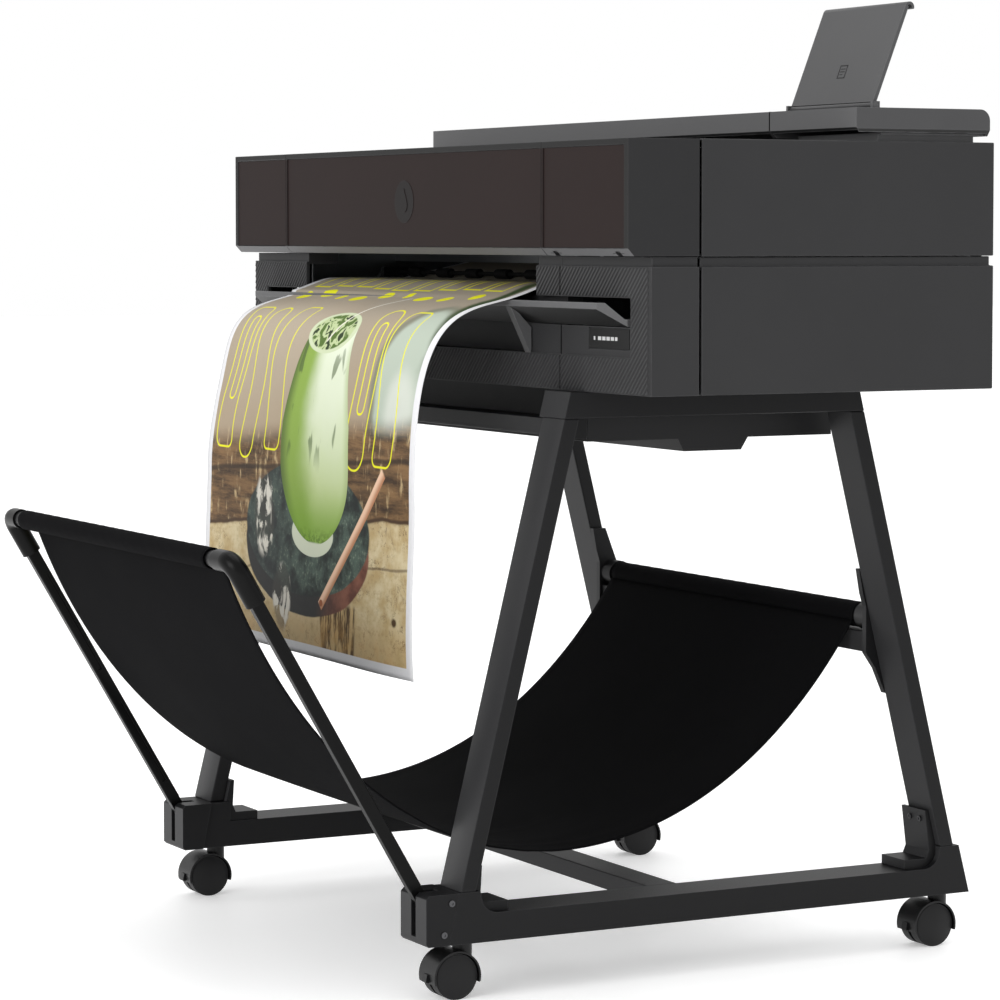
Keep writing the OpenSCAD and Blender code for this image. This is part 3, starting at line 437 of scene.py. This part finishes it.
    def bands(self):
        """Yellow outlines that spell nothing, behind the glass, and above them a row of dots and of bars."""
        line = None
        for shape in ((58.0, 338.0, 25.0, 102.0, 12.0, 0.0), (60.0, 358.0, 9.0, 60.0, 8.0, 0.0),
                      (128.0, 332.0, 20.0, 106.0, 19.0, 1.4), (196.0, 340.0, 22.0, 100.0, 10.0, 2.8),
                      (452.0, 332.0, 26.0, 104.0, 25.0, 0.8), (452.0, 352.0, 9.0, 58.0, 8.0, 0.8),
                      (520.0, 334.0, 25.0, 98.0, 12.0, 2.1)):
            stroke = self.band(*shape)
            line = stroke if line is None else line.max(stroke)
        line = line * self.clear
        for k, cu in enumerate(range(60, 580, 58)):
            du = self.u - float(cu)
            size = 15.0 + 6.0 * math.sin(k * 2.3)
            dot_v = self.v - 488.0 - 8.0 * math.sin(k * 1.7)
            dot = ((du / size) * (du / size) + (dot_v / 11.0) * (dot_v / 11.0)).sqrt()
            bar_v = self.v - 538.0 - 5.0 * math.sin(k * 1.1)
            bar = (du.abs() - 21.0).max(bar_v.abs() - 22.0)
            line = line.max((dot + self.wob * 0.8).step(0.9, 1.0).inv()).max(bar.abs().step(1.4, 2.6).inv())
        self.paint(line, (222, 220, 20))

    def margins(self):
        """The white of the paper round the picture."""
        inside = self.u.step(13.0, 13.8) * self.u.step(595.0, 595.8).inv()
        inside = inside * self.v.step(13.0, 13.8) * self.v.step(860.0, 861.0).inv()
        white = self.mix(self.fine, (208, 208, 210), (220, 220, 222))
        self.col = self.mix(inside, white, self.col)


def artwork(name):
    """The printed picture: a green drink on a dark round board on old planks, with outlined bands."""
    pic = Picture(name)
    for part in (pic.wall, pic.far_things, pic.planks, pic.board, pic.ice, pic.glass, pic.straw,
                 pic.bands, pic.margins):
        part()
    pic.p.colour(pic.col)
    pic.p.roughness(pic.fine * 0.1 + 0.55)
    pic.p.bump(pic.fine, 0.00002)
    return pic.p.m


# ---------------------------------------------------------------------------------------------
# geometry helpers
# ---------------------------------------------------------------------------------------------
def piece(name, verts, faces, body, material, smooth=False, uv=None):
    """A new piece that rides on a body. A material may be a list, for a mesh of several."""
    mesh = bpy.data.meshes.new(name)
    mesh.from_pydata([tuple(v) for v in verts], [], faces)
    mesh.update()
    obj = bpy.data.objects.new(name, mesh)
    bpy.context.scene.collection.objects.link(obj)
    mats = material if isinstance(material, (list, tuple)) else [material]
    for m in mats:
        mesh.materials.append(m)
    if smooth:
        for f in mesh.polygons:
            f.use_smooth = True
    if uv is not None:
        layer = mesh.uv_layers.new(name="lengths")
        for loop in mesh.loops:
            layer.data[loop.index].uv = uv[loop.vertex_index]
    if body:
        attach(obj, body)
    return obj


def add_bevel(obj, width):
    """Joins a CAD mesh's facets into whole faces, and rounds the edges between them."""
    w = obj.modifiers.new("weld", "WELD")
    w.merge_threshold = 0.000005
    d = obj.modifiers.new("flat", "DECIMATE")
    d.decimate_type = "DISSOLVE"
    d.angle_limit = math.radians(0.6)
    d.use_dissolve_boundaries = False
    b = obj.modifiers.new("bevel", "BEVEL")
    b.width = width
    b.segments = 2
    b.limit_method = "ANGLE"
    b.angle_limit = math.radians(30.0)
    b.use_clamp_overlap = True
    b.harden_normals = False


def prism(outline, x0, x1):
    """Corners and faces of a Y-Z outline in mm, extruded along X."""
    n = len(outline)
    verts = [pt(x0, y, z) for y, z in outline] + [pt(x1, y, z) for y, z in outline]
    faces = [tuple(range(n)), tuple(range(2 * n - 1, n - 1, -1))]
    faces += [(i, i + n, (i + 1) % n + n, (i + 1) % n) for i in range(n)]
    return verts, faces


def block(a, b):
    """A box between two corners in mm."""
    x0, y0, z0 = a
    x1, y1, z1 = b
    return prism([(y0, z0), (y1, z0), (y1, z1), (y0, z1)], x0, x1)


def joined(parts):
    """Many shapes as the corners and faces of one."""
    verts, faces = [], []
    for v, f in parts:
        base = len(verts)
        verts += v
        faces += [tuple(i + base for i in face) for face in f]
    return verts, faces


def bez(p, t):
    """A point of a cubic curve in Y and Z."""
    s = 1.0 - t
    return tuple(p[0][i] * s ** 3 + p[1][i] * 3 * t * s * s + p[2][i] * 3 * t * t * s + p[3][i] * t ** 3
                 for i in (0, 1))


def resample(path, step):
    """Even points along a path in mm, and the distance of each from its start."""
    a = np.array(path, float)
    seg = np.hypot(*np.diff(a, axis=0).T)
    at = np.concatenate([[0.0], np.cumsum(seg)])
    n = int(round(at[-1] / step))
    s = np.linspace(0.0, at[-1], n + 1)
    return np.stack([np.interp(s, at, a[:, 0]), np.interp(s, at, a[:, 1])], 1), s


def sheet_mesh(path, dist, xs, thick, offset=None, flip=False):
    """A thin sheet: path in Y and Z (mm) across xs. Returns corners, faces, uv in metres, face sides."""
    n, m = len(path), len(xs)
    t = np.gradient(path, axis=0)
    t /= np.linalg.norm(t, axis=1)[:, None]
    nrm = np.stack([-t[:, 1], t[:, 0]], 1)
    verts, uv = [], []
    for side in (0.0, thick):
        for i in range(n):
            for j in range(m):
                lift = (offset(i, j) if offset else 0.0) + side
                y, z = path[i] + nrm[i] * lift
                verts.append(pt(xs[j], y, z))
                uv.append(((xs[j] - xs[0]) * MM, (dist[-1] - dist[i]) * MM))
    k = n * m
    faces, sides = [], []
    for i in range(n - 1):
        for j in range(m - 1):
            a, b, c, d = i * m + j, i * m + j + 1, (i + 1) * m + j + 1, (i + 1) * m + j
            faces.append((a, b, c, d))
            sides.append(0)
            faces.append((a + k, d + k, c + k, b + k))
            sides.append(1)
    for i in range(n - 1):
        for j in (0, m - 1):
            a, b = i * m + j, (i + 1) * m + j
            faces.append((a, b, b + k, a + k) if j == 0 else (b, a, a + k, b + k))
            sides.append(1)
    for i in (0, n - 1):
        for j in range(m - 1):
            a, b = i * m + j, i * m + j + 1
            faces.append((b, a, a + k, b + k) if i == 0 else (a, b, b + k, a + k))
            sides.append(1)
    if flip:
        faces = [tuple(reversed(f)) for f in faces]
    return verts, faces, uv, sides


def fix_normals(obj):
    """Turns every face outward."""
    bm = bmesh.new()
    bm.from_mesh(obj.data)
    bmesh.ops.recalc_face_normals(bm, faces=bm.faces)
    bm.to_mesh(obj.data)
    bm.free()


# ---------------------------------------------------------------------------------------------
# materials of the CAD nodes
# ---------------------------------------------------------------------------------------------
# under and front are painted light and shade: a tone for faces that look down and one for faces that look
# forward, set by how the lamps light those sides
BODY = moulding("body_plastic", (41, 41, 42), 0.52, 1100.0, 0.00005, 0.22, 2.2, under=(20, 20, 20))
FASCIA = moulding("fascia_plastic", (34, 34, 35), 0.50, 1100.0, 0.00005, 0.20, 1.6,
                  under=(92, 92, 93), front=(11, 11, 11))
COVER = moulding("cover_plastic", (64, 64, 65), 0.50, 1100.0, 0.00005, 0.28, 1.8, under=(28, 28, 28),
                 front=(84, 84, 85))
RIBBED = moulding("ribbed_plastic", (50, 50, 51), 0.48, 1100.0, 0.00004, 0.26, 1.3)
GUIDE = moulding("guide_plastic", (80, 80, 81), 0.45, 1100.0, 0.00005, 0.3, 1.8, under=(8, 8, 8))
TRAY = moulding("tray_plastic", (66, 66, 67), 0.42, 1000.0, 0.00004, 0.35, 1.8)
INLAY = moulding("brown_inlay", (37, 29, 28), 0.50, 1500.0, 0.00003, 0.05, 1.2)
STAND = moulding("stand_powder_coat", (20, 20, 21), 0.46, 1600.0, 0.00005, 0.16, 3.0, under=(10, 10, 10),
                 front=(46, 46, 47))
GLOSS = moulding("gloss_black", (6, 6, 6), 0.32, 500.0, 0.00002, 0.12, 2.5)
TUBE = moulding("satin_tube", (12, 12, 13), 0.36, 1200.0, 0.00003, 0.20, 2.5)
CASTER = moulding("caster_plastic", (12, 12, 13), 0.34, 1300.0, 0.00004, 0.26, 2.5)
WHEEL = moulding("wheel_plastic", (15, 15, 16), 0.48, 1300.0, 0.00005, 0.25, 2.5)
PAN = moulding("pan_metal", (24, 24, 25), 0.5, 1500.0, 0.00004, 0.22, 2.0, under=(16, 16, 16))
WORKS = moulding("works_plastic", (12, 12, 13), 0.5, 1200.0, 0.00004, 0.18)
RUBBER = moulding("rubber", (12, 12, 12), 0.7, 700.0, 0.0001, 0.15)
MOTOR = moulding("motor_paint", (40, 40, 42), 0.4, 900.0, 0.00003, 0.4)
BADGE = moulding("badge_gloss", (17, 12, 12), 0.35, 600.0, 0.00001, 0.08, 3.0)
PANEL = moulding("panel_gloss", (10, 10, 11), 0.16, 400.0, 0.00001, 0.5, 1.0)
LABEL = moulding("label_film", (24, 24, 24), 0.45, 1600.0, 0.00002, 0.16, 1.5)
MARK = moulding("pale_mark", (190, 190, 190), 0.5, 1200.0, 0.00001, 0.3, 1.0)
SIGN = moulding("dark_mark", (34, 34, 35), 0.5, 1200.0, 0.00001, 0.2, 1.0)
# a near-black material for strips that stand in for the shadow in a joint
JOINT_SHADOW = moulding("painted_joint_shadow", (4, 4, 4), 0.8, 900.0, 0.00003, 0.0, 1.0)
BUTTON = moulding("button_grey", (120, 120, 122), 0.4, 900.0, 0.00002, 0.4)
BOARD = moulding("solder_mask", (34, 84, 52), 0.4, 800.0, 0.00003, 0.5)
INK = moulding("ink_plastic", (26, 28, 34), 0.35, 900.0, 0.00002, 0.4)
STEEL = brushed("plate_steel", (150, 152, 154), 0.4)
SCREW = brushed("screw_steel", (90, 90, 92), 0.3)
PULLEY = brushed("pulley_metal", (180, 180, 182), 0.3)
GRIT = moulding("roller_grit", (70, 72, 74), 0.6, 2200.0, 0.0002, 0.4, metallic=0.6)
CLOTH = cloth("sling_cloth", (15, 15, 16))
WHITE = paper("paper_back", (222, 222, 220))

BY_NODE = {
    "foot_left": STAND, "foot_right": STAND, "front_legs": STAND, "rear_legs": STAND, "top_beams": STAND,
    "leg_brackets": STAND, "lower_crossbar": STAND, "upper_crossbar": STAND, "rear_crossbar": STAND,
    "basket_knuckles": STAND, "rear_bar_brackets": STAND, "stand_screws": SCREW, "sling_rear_bar": TUBE,
    "sling": CLOTH, "basket_bar": TUBE, "basket_elbows": GLOSS, "basket_arms": GLOSS,
    "base_pan": PAN, "lower_side_covers": BODY, "upper_side_covers": BODY, "rear_cover": BODY,
    "front_blocks": BODY, "output_chute": BODY, "output_guide": GUIDE, "label_plate": LABEL,
    "left_end_cap": FASCIA, "front_door": FASCIA, "ink_door": FASCIA, "emblem": BADGE, "top_deck": BODY,
    "roll_cover": COVER, "feeder_housing": COVER, "sheet_tray": TRAY, "control_panel": PANEL,
    "power_button": BUTTON, "chassis_plates": STEEL, "carriage_rail": STEEL, "carriage": WORKS,
    "drive_belt": RUBBER, "drive_pulley": PULLEY, "idler_pulley": PULLEY, "drive_motors": MOTOR,
    "feed_roller": GRIT, "pinch_rollers": RUBBER, "platen": WORKS, "roll_spindle": WORKS,
    "media_roll": WHITE, "printed_sheet": WHITE, "ink_cartridges": INK, "power_supply": STEEL,
    "main_board": BOARD, "power_inlet": WORKS,
}
for end in ("front_left", "front_right", "rear_left", "rear_right"):
    BY_NODE["caster_" + end] = CASTER
    BY_NODE["wheels_" + end] = WHEEL

# width of the rounded edges, in mm
BEVELS = {
    "front_legs": 1.6, "rear_legs": 1.6, "foot_left": 1.6, "foot_right": 1.6, "top_beams": 1.2,
    "lower_crossbar": 1.0, "upper_crossbar": 1.0, "rear_crossbar": 1.0, "leg_brackets": 0.8,
    "basket_knuckles": 1.2, "rear_bar_brackets": 0.8, "base_pan": 1.0, "lower_side_covers": 1.1,
    "upper_side_covers": 1.1, "front_blocks": 0.7, "output_chute": 0.6, "output_guide": 0.7,
    "left_end_cap": 0.8, "front_door": 0.8, "ink_door": 0.8, "top_deck": 0.7, "roll_cover": 1.1,
    "feeder_housing": 1.1, "sheet_tray": 0.9, "rear_cover": 0.5, "label_plate": 0.3,
}
for node, material in BY_NODE.items():
    obj = NODES[node]
    for s in obj.material_slots:
        s.link = "OBJECT"
        s.material = material
    if not obj.material_slots:
        obj.data.materials.append(material)
    if node in BEVELS:
        add_bevel(obj, BEVELS[node] * MM)


# ---------------------------------------------------------------------------------------------
# inlays of the fascia
# ---------------------------------------------------------------------------------------------
INLAY_LOW, INLAY_HIGH = 827.6, 937.4
INLAY_END = 515.4
GAP = 0.3


def inlay(name, pocket, face, body):
    """A brown inlay in its pocket, with thin strips that carry its colour over the rim to the gap."""
    parts = [block((pocket[0], 0.9, INLAY_LOW), (pocket[1], 2.05, INLAY_HIGH))]
    for x0, x1 in ((face[0], pocket[0] + GAP), (pocket[1] - GAP, face[1])):
        if x1 - x0 > 1.0:
            parts.append(block((x0, -0.15, INLAY_LOW), (x1, -0.02, INLAY_HIGH)))
    v, f = joined(parts)
    fix_normals(piece(name, v, f, body, INLAY))


cap_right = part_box("left_end_cap")[1].x / MM - GAP
door_left, door_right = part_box("front_door")[0].x / MM + GAP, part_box("front_door")[1].x / MM - GAP
ink_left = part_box("ink_door")[0].x / MM + GAP
inlay("inlay_left", (-INLAY_END, -364.6), (-INLAY_END, cap_right), "machine")
inlay("inlay_door", (-357.4, 326.4), (door_left, door_right), "front_door")
inlay("inlay_ink", (333.6, INLAY_END), (ink_left, INLAY_END), "ink_door")


# ---------------------------------------------------------------------------------------------
# diagonal ribs on the lower front
# ---------------------------------------------------------------------------------------------
RIB_PITCH = 7.5
RIB_WIDE = 3.9
RIB_RISE = 0.9
RIB_TAPER = 0.7
RIB_FACE = 29.0
RIB_ZERO = 600      # the ribs lean at 45 degrees, and their places along X are counted at this height
RIB_LEAST = 1.5     # a cut-off corner of a rib smaller than this, in mm2, is left out


def clip(poly, inside, cut):
    """The part of an outline on one side of a line."""
    out = []
    for i, a in enumerate(poly):
        b = poly[(i + 1) % len(poly)]
        ia, ib = inside(a), inside(b)
        if ia:
            out.append(a)
        if ia != ib:
            out.append(cut(a, b))
    return out


def clip_rect(poly, x0, x1, z0, z1):
    """The part of an outline inside a rectangle."""
    def at_x(x):
        return lambda a, b: (x, a[1] + (b[1] - a[1]) * (x - a[0]) / (b[0] - a[0]))

    def at_z(z):
        return lambda a, b: (a[0] + (b[0] - a[0]) * (z - a[1]) / (b[1] - a[1]), z)

    for inside, cut in ((lambda p: p[0] >= x0, at_x(x0)), (lambda p: p[0] <= x1, at_x(x1)),
                        (lambda p: p[1] >= z0, at_z(z0)), (lambda p: p[1] <= z1, at_z(z1))):
        if poly:
            poly = clip(poly, inside, cut)
    return poly


def area(poly):
    if len(poly) < 3:
        return 0.0
    nexts = poly[1:] + poly[:1]
    return abs(sum(a[0] * b[1] - b[0] * a[1] for a, b in zip(poly, nexts))) / 2


def rib(poly, a):
    """One rib over its outline, with its sides drawn in towards its crest. a is its place."""
    n = len(poly)
    base = [pt(x, RIB_FACE + 0.05, z) for x, z in poly]
    top = []
    for x, z in poly:
        towards = np.sign(a + (z - RIB_ZERO) + RIB_WIDE / 2 - x)
        top.append(pt(x + RIB_TAPER * towards, RIB_FACE - RIB_RISE, z))
    faces = [tuple(range(n, 2 * n))]
    faces += [(i, (i + 1) % n, (i + 1) % n + n, i + n) for i in range(n)]
    faces += [tuple(range(n - 1, -1, -1))]
    return base + top, faces


def ribs(name, rects):
    parts = []
    for x0, x1, z0, z1 in rects:
        low, high = z0 - RIB_ZERO, z1 - RIB_ZERO
        first = math.floor((x0 - high) / RIB_PITCH) - 1
        last = math.ceil((x1 - low) / RIB_PITCH) + 1
        for k in range(first, last):
            a = k * RIB_PITCH
            stripe = [(a + low, z0), (a + RIB_WIDE + low, z0), (a + RIB_WIDE + high, z1), (a + high, z1)]
            poly = clip_rect(stripe, x0, x1, z0, z1)
            if area(poly) >= RIB_LEAST:
                parts.append(rib(poly, a))
    v, f = joined(parts)
    fix_normals(piece(name, v, f, "machine", RIBBED))


# left, right, lower and upper edge of each ribbed patch
ribs("ribs_left_block", [(-523.6, -361.8, 774.5, 805.6), (-523.6, -485.5, 669.4, 774.5),
                         (-485.5, -361.8, 669.4, 740.2)])
ribs("ribs_right_block", [(323.0, 517.5, 774.5, 805.6), (481.5, 517.5, 706.8, 774.5),
                          (323.0, 517.5, 669.4, 706.8)])
ribs("ribs_chute", [(265.8, 319.8, 774.2, 805.6), (-359.4, 319.8, 669.4, 706.6)])

# ---------------------------------------------------------------------------------------------
# black strips that paint the shadow in the joints between covers
# ---------------------------------------------------------------------------------------------
JOINT_X = (320.4, 321.9)
joints = []
for z0, z1 in ((668.4, 706.8), (774.4, 806.6)):
    joints.append(block((JOINT_X[0], 28.75, z0), (JOINT_X[1], 29.4, z1)))
joints.append(block((JOINT_X[0], 30.2, 708.4), (JOINT_X[1], 30.9, 741)))
v, f = joined(joints)
piece("front_joint_shadow", v, f, "machine", JOINT_SHADOW)
# the same painted shadow, in the joint between the roll cover and the feeder housing
feeder_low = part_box("feeder_housing")[0]
slab_y, slab_top = (feeder_low.y - DOOR_Y) / MM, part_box("roll_cover")[1].z / MM
rim_path = [(slab_y - 0.2, 960.3), (slab_y - 0.2, slab_top + 0.2), (slab_y + 60, slab_top + 0.2),
            (slab_y + 60, slab_top - 1.2), (slab_y + 1.2, slab_top - 1.2), (slab_y + 1.2, 960.6),
            (slab_y + 9, 953), (slab_y + 8, 952)]
v, f = prism(rim_path, feeder_low.x / MM - 0.3, feeder_low.x / MM + 1.3)
fix_normals(piece("slab_joint_shadow", v, f, "machine", JOINT_SHADOW))

# ---------------------------------------------------------------------------------------------
# marks: plain bars on the label and a plain sheet sign on the tray
# ---------------------------------------------------------------------------------------------
MARK_X, MARK_PITCH = 397, 9.5
marks = []
for i, wide in enumerate((3, 7, 7, 7, 7, 5)):
    left = MARK_X + MARK_PITCH * i
    marks.append(block((left, 29.9, 726), (left + wide, 30.25, 730)))
v, f = joined(marks)
piece("label_marks", v, f, "machine", MARK)

TRAY_PIN = (316.0, 985.0)
TRAY_LEAN = math.radians(21.7)
TRAY_FACE = 2.3     # from the pin's middle line out to the tray's front face


def on_tray(x, along, out):
    """A point on the tray's front face: along it from its hinge, and out from it."""
    y = TRAY_PIN[0] + along * math.sin(TRAY_LEAN) - (TRAY_FACE + out) * math.cos(TRAY_LEAN)
    z = TRAY_PIN[1] + along * math.cos(TRAY_LEAN) + (TRAY_FACE + out) * math.sin(TRAY_LEAN)
    return pt(x, y, z)


def tray_bar(x0, x1, a0, a1):
    verts = [on_tray(x, a, o) for o in (-0.1, 0.25) for x, a in ((x0, a0), (x1, a0), (x1, a1), (x0, a1))]
    faces = [(0, 1, 2, 3), (7, 6, 5, 4), (0, 4, 5, 1), (1, 5, 6, 2), (2, 6, 7, 3), (3, 7, 4, 0)]
    return verts, faces


sign = [tray_bar(427, 428.2, 34, 50), tray_bar(441, 442.2, 34, 50), tray_bar(427, 442.2, 49, 50.2),
        tray_bar(427, 442.2, 34, 35.2), tray_bar(430.5, 438.5, 45, 46), tray_bar(430.5, 438.5, 41.6, 42.6),
        tray_bar(430.5, 436, 38.2, 39.2)]
v, f = joined(sign)
fix_normals(piece("tray_sign", v, f, "sheet_tray", SIGN))

# ---------------------------------------------------------------------------------------------
# the print
# ---------------------------------------------------------------------------------------------
PAPER_Z = 786.3
PAPER_X = (-353.0, 257.0)
feed_y, roll_y, roll_z, roll_r = 165.0, 385.0, 880.0, 45.0
run = math.hypot(roll_y - feed_y, roll_z - PAPER_Z)
turn = math.asin((roll_r + 0.6) / run)
angle = math.atan2(roll_z - PAPER_Z, roll_y - feed_y) - turn
away = run * math.cos(turn)
LEAD_OUT = ((62, PAPER_Z), (45, PAPER_Z), (30, 777.3), (4, 770.3))
FALL = ((4, 770.3), (-60, 753), (-125, 765), (-121, 545))
TAIL = ((-121, 545), (-119, 490), (-127, 420), (-125, 340))
paper_path = [(feed_y + away * math.cos(angle), PAPER_Z + away * math.sin(angle)),
              (feed_y + 14, PAPER_Z + 14 * math.tan(angle)), (feed_y, PAPER_Z)]
paper_path += [bez(LEAD_OUT, i / 12) for i in range(13)]
paper_path += [bez(FALL, i / 40) for i in range(1, 41)]
paper_path += [bez(TAIL, i / 20) for i in range(1, 21)]
path, dist = resample(paper_path, 6.0)
xs = np.linspace(*PAPER_X, 62)
rng = np.random.default_rng(7)
waves = []
for _ in range(5):
    by_x, by_length = rng.uniform(0.006, 0.018), rng.uniform(0.004, 0.012)
    waves.append((by_x, by_length, rng.uniform(0, 6.28), rng.uniform(0.2, 0.5)))


def paper_lift(i, j):
    """Soft waves that grow towards the hanging end, a slight curl at its corners, and a left side
    that stands off a little where the sheet turns down."""
    hang = max(0.0, (dist[i] - 430.0) / (dist[-1] - 430.0))
    wave = sum(a * math.sin(p * xs[j] + q * dist[i] + f0) for p, q, f0, a in waves)
    across = (xs[j] - xs[0]) / (xs[-1] - xs[0])
    corner = (across - 0.5) * 2
    twist = 17.0 * math.exp(-((path[i][1] - 670.0) / 90.0) ** 2) * (1.0 - across) ** 1.5
    rest = 5.0 * min(1.0, max(0.0, (640.0 - path[i][1]) / 100.0)) * (1.0 - across) ** 1.5
    return hang * (wave * 1.6) + hang ** 4 * corner ** 4 * 3.0 + (twist + rest if path[i][0] < 0 else 0.0)


v, f, uv, sides = sheet_mesh(path, dist, xs, 0.3, paper_lift, flip=True)
ART = artwork("print_art")
print_piece = piece("print", v, f, "machine", [ART, WHITE], smooth=True, uv=uv)
for face, side in zip(print_piece.data.polygons, sides):
    face.material_index = side
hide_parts("printed_sheet")

# ---------------------------------------------------------------------------------------------
# the sling: one cloth with a sleeve round each bar
# ---------------------------------------------------------------------------------------------
PIVOT = (-150.6, 98.0)
LEAN = math.radians(30.2)
ARM = 457
BAR = (PIVOT[0] - ARM * math.sin(LEAN), PIVOT[1] + ARM * math.cos(LEAN))
REAR = (457.0, 390.0)
LOWEST = (45, 140)
SLING_X = 290.0
front_curve = ((BAR[0] + 10.2, BAR[1] - 3), (-298, 291), (-141, LOWEST[1]), LOWEST)
rear_curve = (LOWEST, (217, LOWEST[1]), (357, 249), (REAR[0] - 14, REAR[1] - 5.5))
sling_path = [bez(front_curve, i / 40) for i in range(41)]
sling_path += [bez(rear_curve, i / 40) for i in range(1, 41)]
path_s, dist_s = resample(sling_path, 8.0)
xs_s = np.linspace(-SLING_X, SLING_X, 73)
# place and width of each crease, and a third draw that nothing uses
folds = [(rng.uniform(-1, 1), rng.uniform(0.6, 1.4), rng.uniform(0.02, 0.05)) for _ in range(9)]


def cloth_lift(i, j):
    """Small pulls that run along the cloth from its low middle, and a slight sag between the edges."""
    s = dist_s[i] / dist_s[-1]
    x = xs_s[j] / SLING_X
    sag = -1.6 * math.sin(math.pi * s) * (1 - x * x)
    low = math.exp(-((s - 0.50) / 0.16) ** 2)
    spread = 1 + 6 * abs(s - 0.42)
    creases = 0.0
    for place, wide, _ in folds:
        creases += math.exp(-((x - 0.75 - place * 0.24 * spread) / (0.018 * wide)) ** 2)
    return sag + low * creases * 0.9 * abs(x)


v, f, uv, _ = sheet_mesh(path_s, dist_s, xs_s, 1.5, cloth_lift)
sling = piece("sling_cloth", v, f, None, CLOTH, smooth=True, uv=uv)
fix_normals(sling)


def sleeve(name, centre, r, body, start, sweep, seam):
    """A hem sleeve: the cloth goes once round a bar and is sewn to itself at the seam."""
    ring = []
    steps = 40
    for k in range(steps + 1):
        a = start + sweep * k / steps
        ring.append((centre[0] + r * math.cos(a), centre[1] + r * math.sin(a)))
    ring.append(seam)
    ring = np.array(ring)
    seg = np.concatenate([[0], np.cumsum(np.hypot(*np.diff(ring, axis=0).T))])

    def pucker(i, j):
        return 0.18 * math.sin(xs_s[j] * 0.21 + i * 0.5) * math.sin(i / len(ring) * math.pi)

    vv, ff, uu, _ = sheet_mesh(ring, seg, xs_s, 0.9, pucker)
    fix_normals(piece(name, vv, ff, body, CLOTH, smooth=True, uv=uu))


sleeve("hem_front", BAR, 10.9, "basket", math.radians(-20), math.radians(-330),
       (BAR[0] + 11.2, BAR[1] - 7.5))
sleeve("hem_rear", REAR, 15.2, "machine", math.radians(200), math.radians(330),
       (REAR[0] - 15.5, REAR[1] - 9.5))

STITCH, STITCH_PITCH, THREAD = 3.6, 5.4, 0.35


def stitches(name, y, z, body):
    """A row of short stitches along X, beside a hem."""
    parts = []
    ring = [(y - THREAD, z), (y, z + THREAD), (y + THREAD, z), (y, z - THREAD)]
    x = -SLING_X + 6
    while x < SLING_X - 8:
        parts.append(prism(ring, x, x + STITCH))
        x += STITCH_PITCH
    vv, ff = joined(parts)
    fix_normals(piece(name, vv, ff, body, TUBE))


stitches("stitches_front", BAR[0] + 14.3, BAR[1] - 10.5, "basket")
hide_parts("sling")
pt(0, *LOWEST)
pt(0, BAR[0] + 10, BAR[1])
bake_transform(sling)

# ---------------------------------------------------------------------------------------------
# floor, light and world
# ---------------------------------------------------------------------------------------------
HALF = 30.0
FLOOR = paper("floor_paint", (250, 250, 250))
floor_shader = FLOOR.node_tree.nodes["Principled BSDF"]
floor_shader.inputs["Emission Color"].default_value = (1.0, 1.0, 1.0, 1.0)
floor_shader.inputs["Emission Strength"].default_value = 0.30
floor_mesh = bpy.data.meshes.new("floor")
floor_corners = [(-HALF, -HALF, 0), (HALF, -HALF, 0), (HALF, HALF, 0), (-HALF, HALF, 0)]
floor_mesh.from_pydata(floor_corners, [], [(0, 1, 2, 3)])
floor_mesh.materials.append(FLOOR)
floor = bpy.data.objects.new("floor", floor_mesh)
bpy.context.scene.collection.objects.link(floor)


def softbox(name, place, target, size, watts):
    """A rectangular area light that looks at a point."""
    light = bpy.data.lights.new(name, "AREA")
    light.shape = "RECTANGLE"
    light.size, light.size_y = size
    light.energy = watts
    obj = bpy.data.objects.new(name, light)
    obj.location = place
    obj.rotation_euler = (Vector(target) - Vector(place)).to_track_quat("-Z", "Y").to_euler()
    bpy.context.scene.collection.objects.link(obj)


softbox("key", (1.8, -3.8, 1.9), (0, 0, 0.6), (2.6, 2.2), 74)
softbox("top", (0.0, 0.4, 4.0), (0, 0, 0.7), (3.0, 3.0), 40)

world = bpy.data.worlds.new("world")
world.use_nodes = True
sky = world.node_tree.nodes["Background"]
sky.inputs["Color"].default_value = (1.0, 1.0, 1.0, 1.0)
sky.inputs["Strength"].default_value = 1.0
bpy.context.scene.world = world
bpy.context.scene.view_settings.view_transform = "Standard"
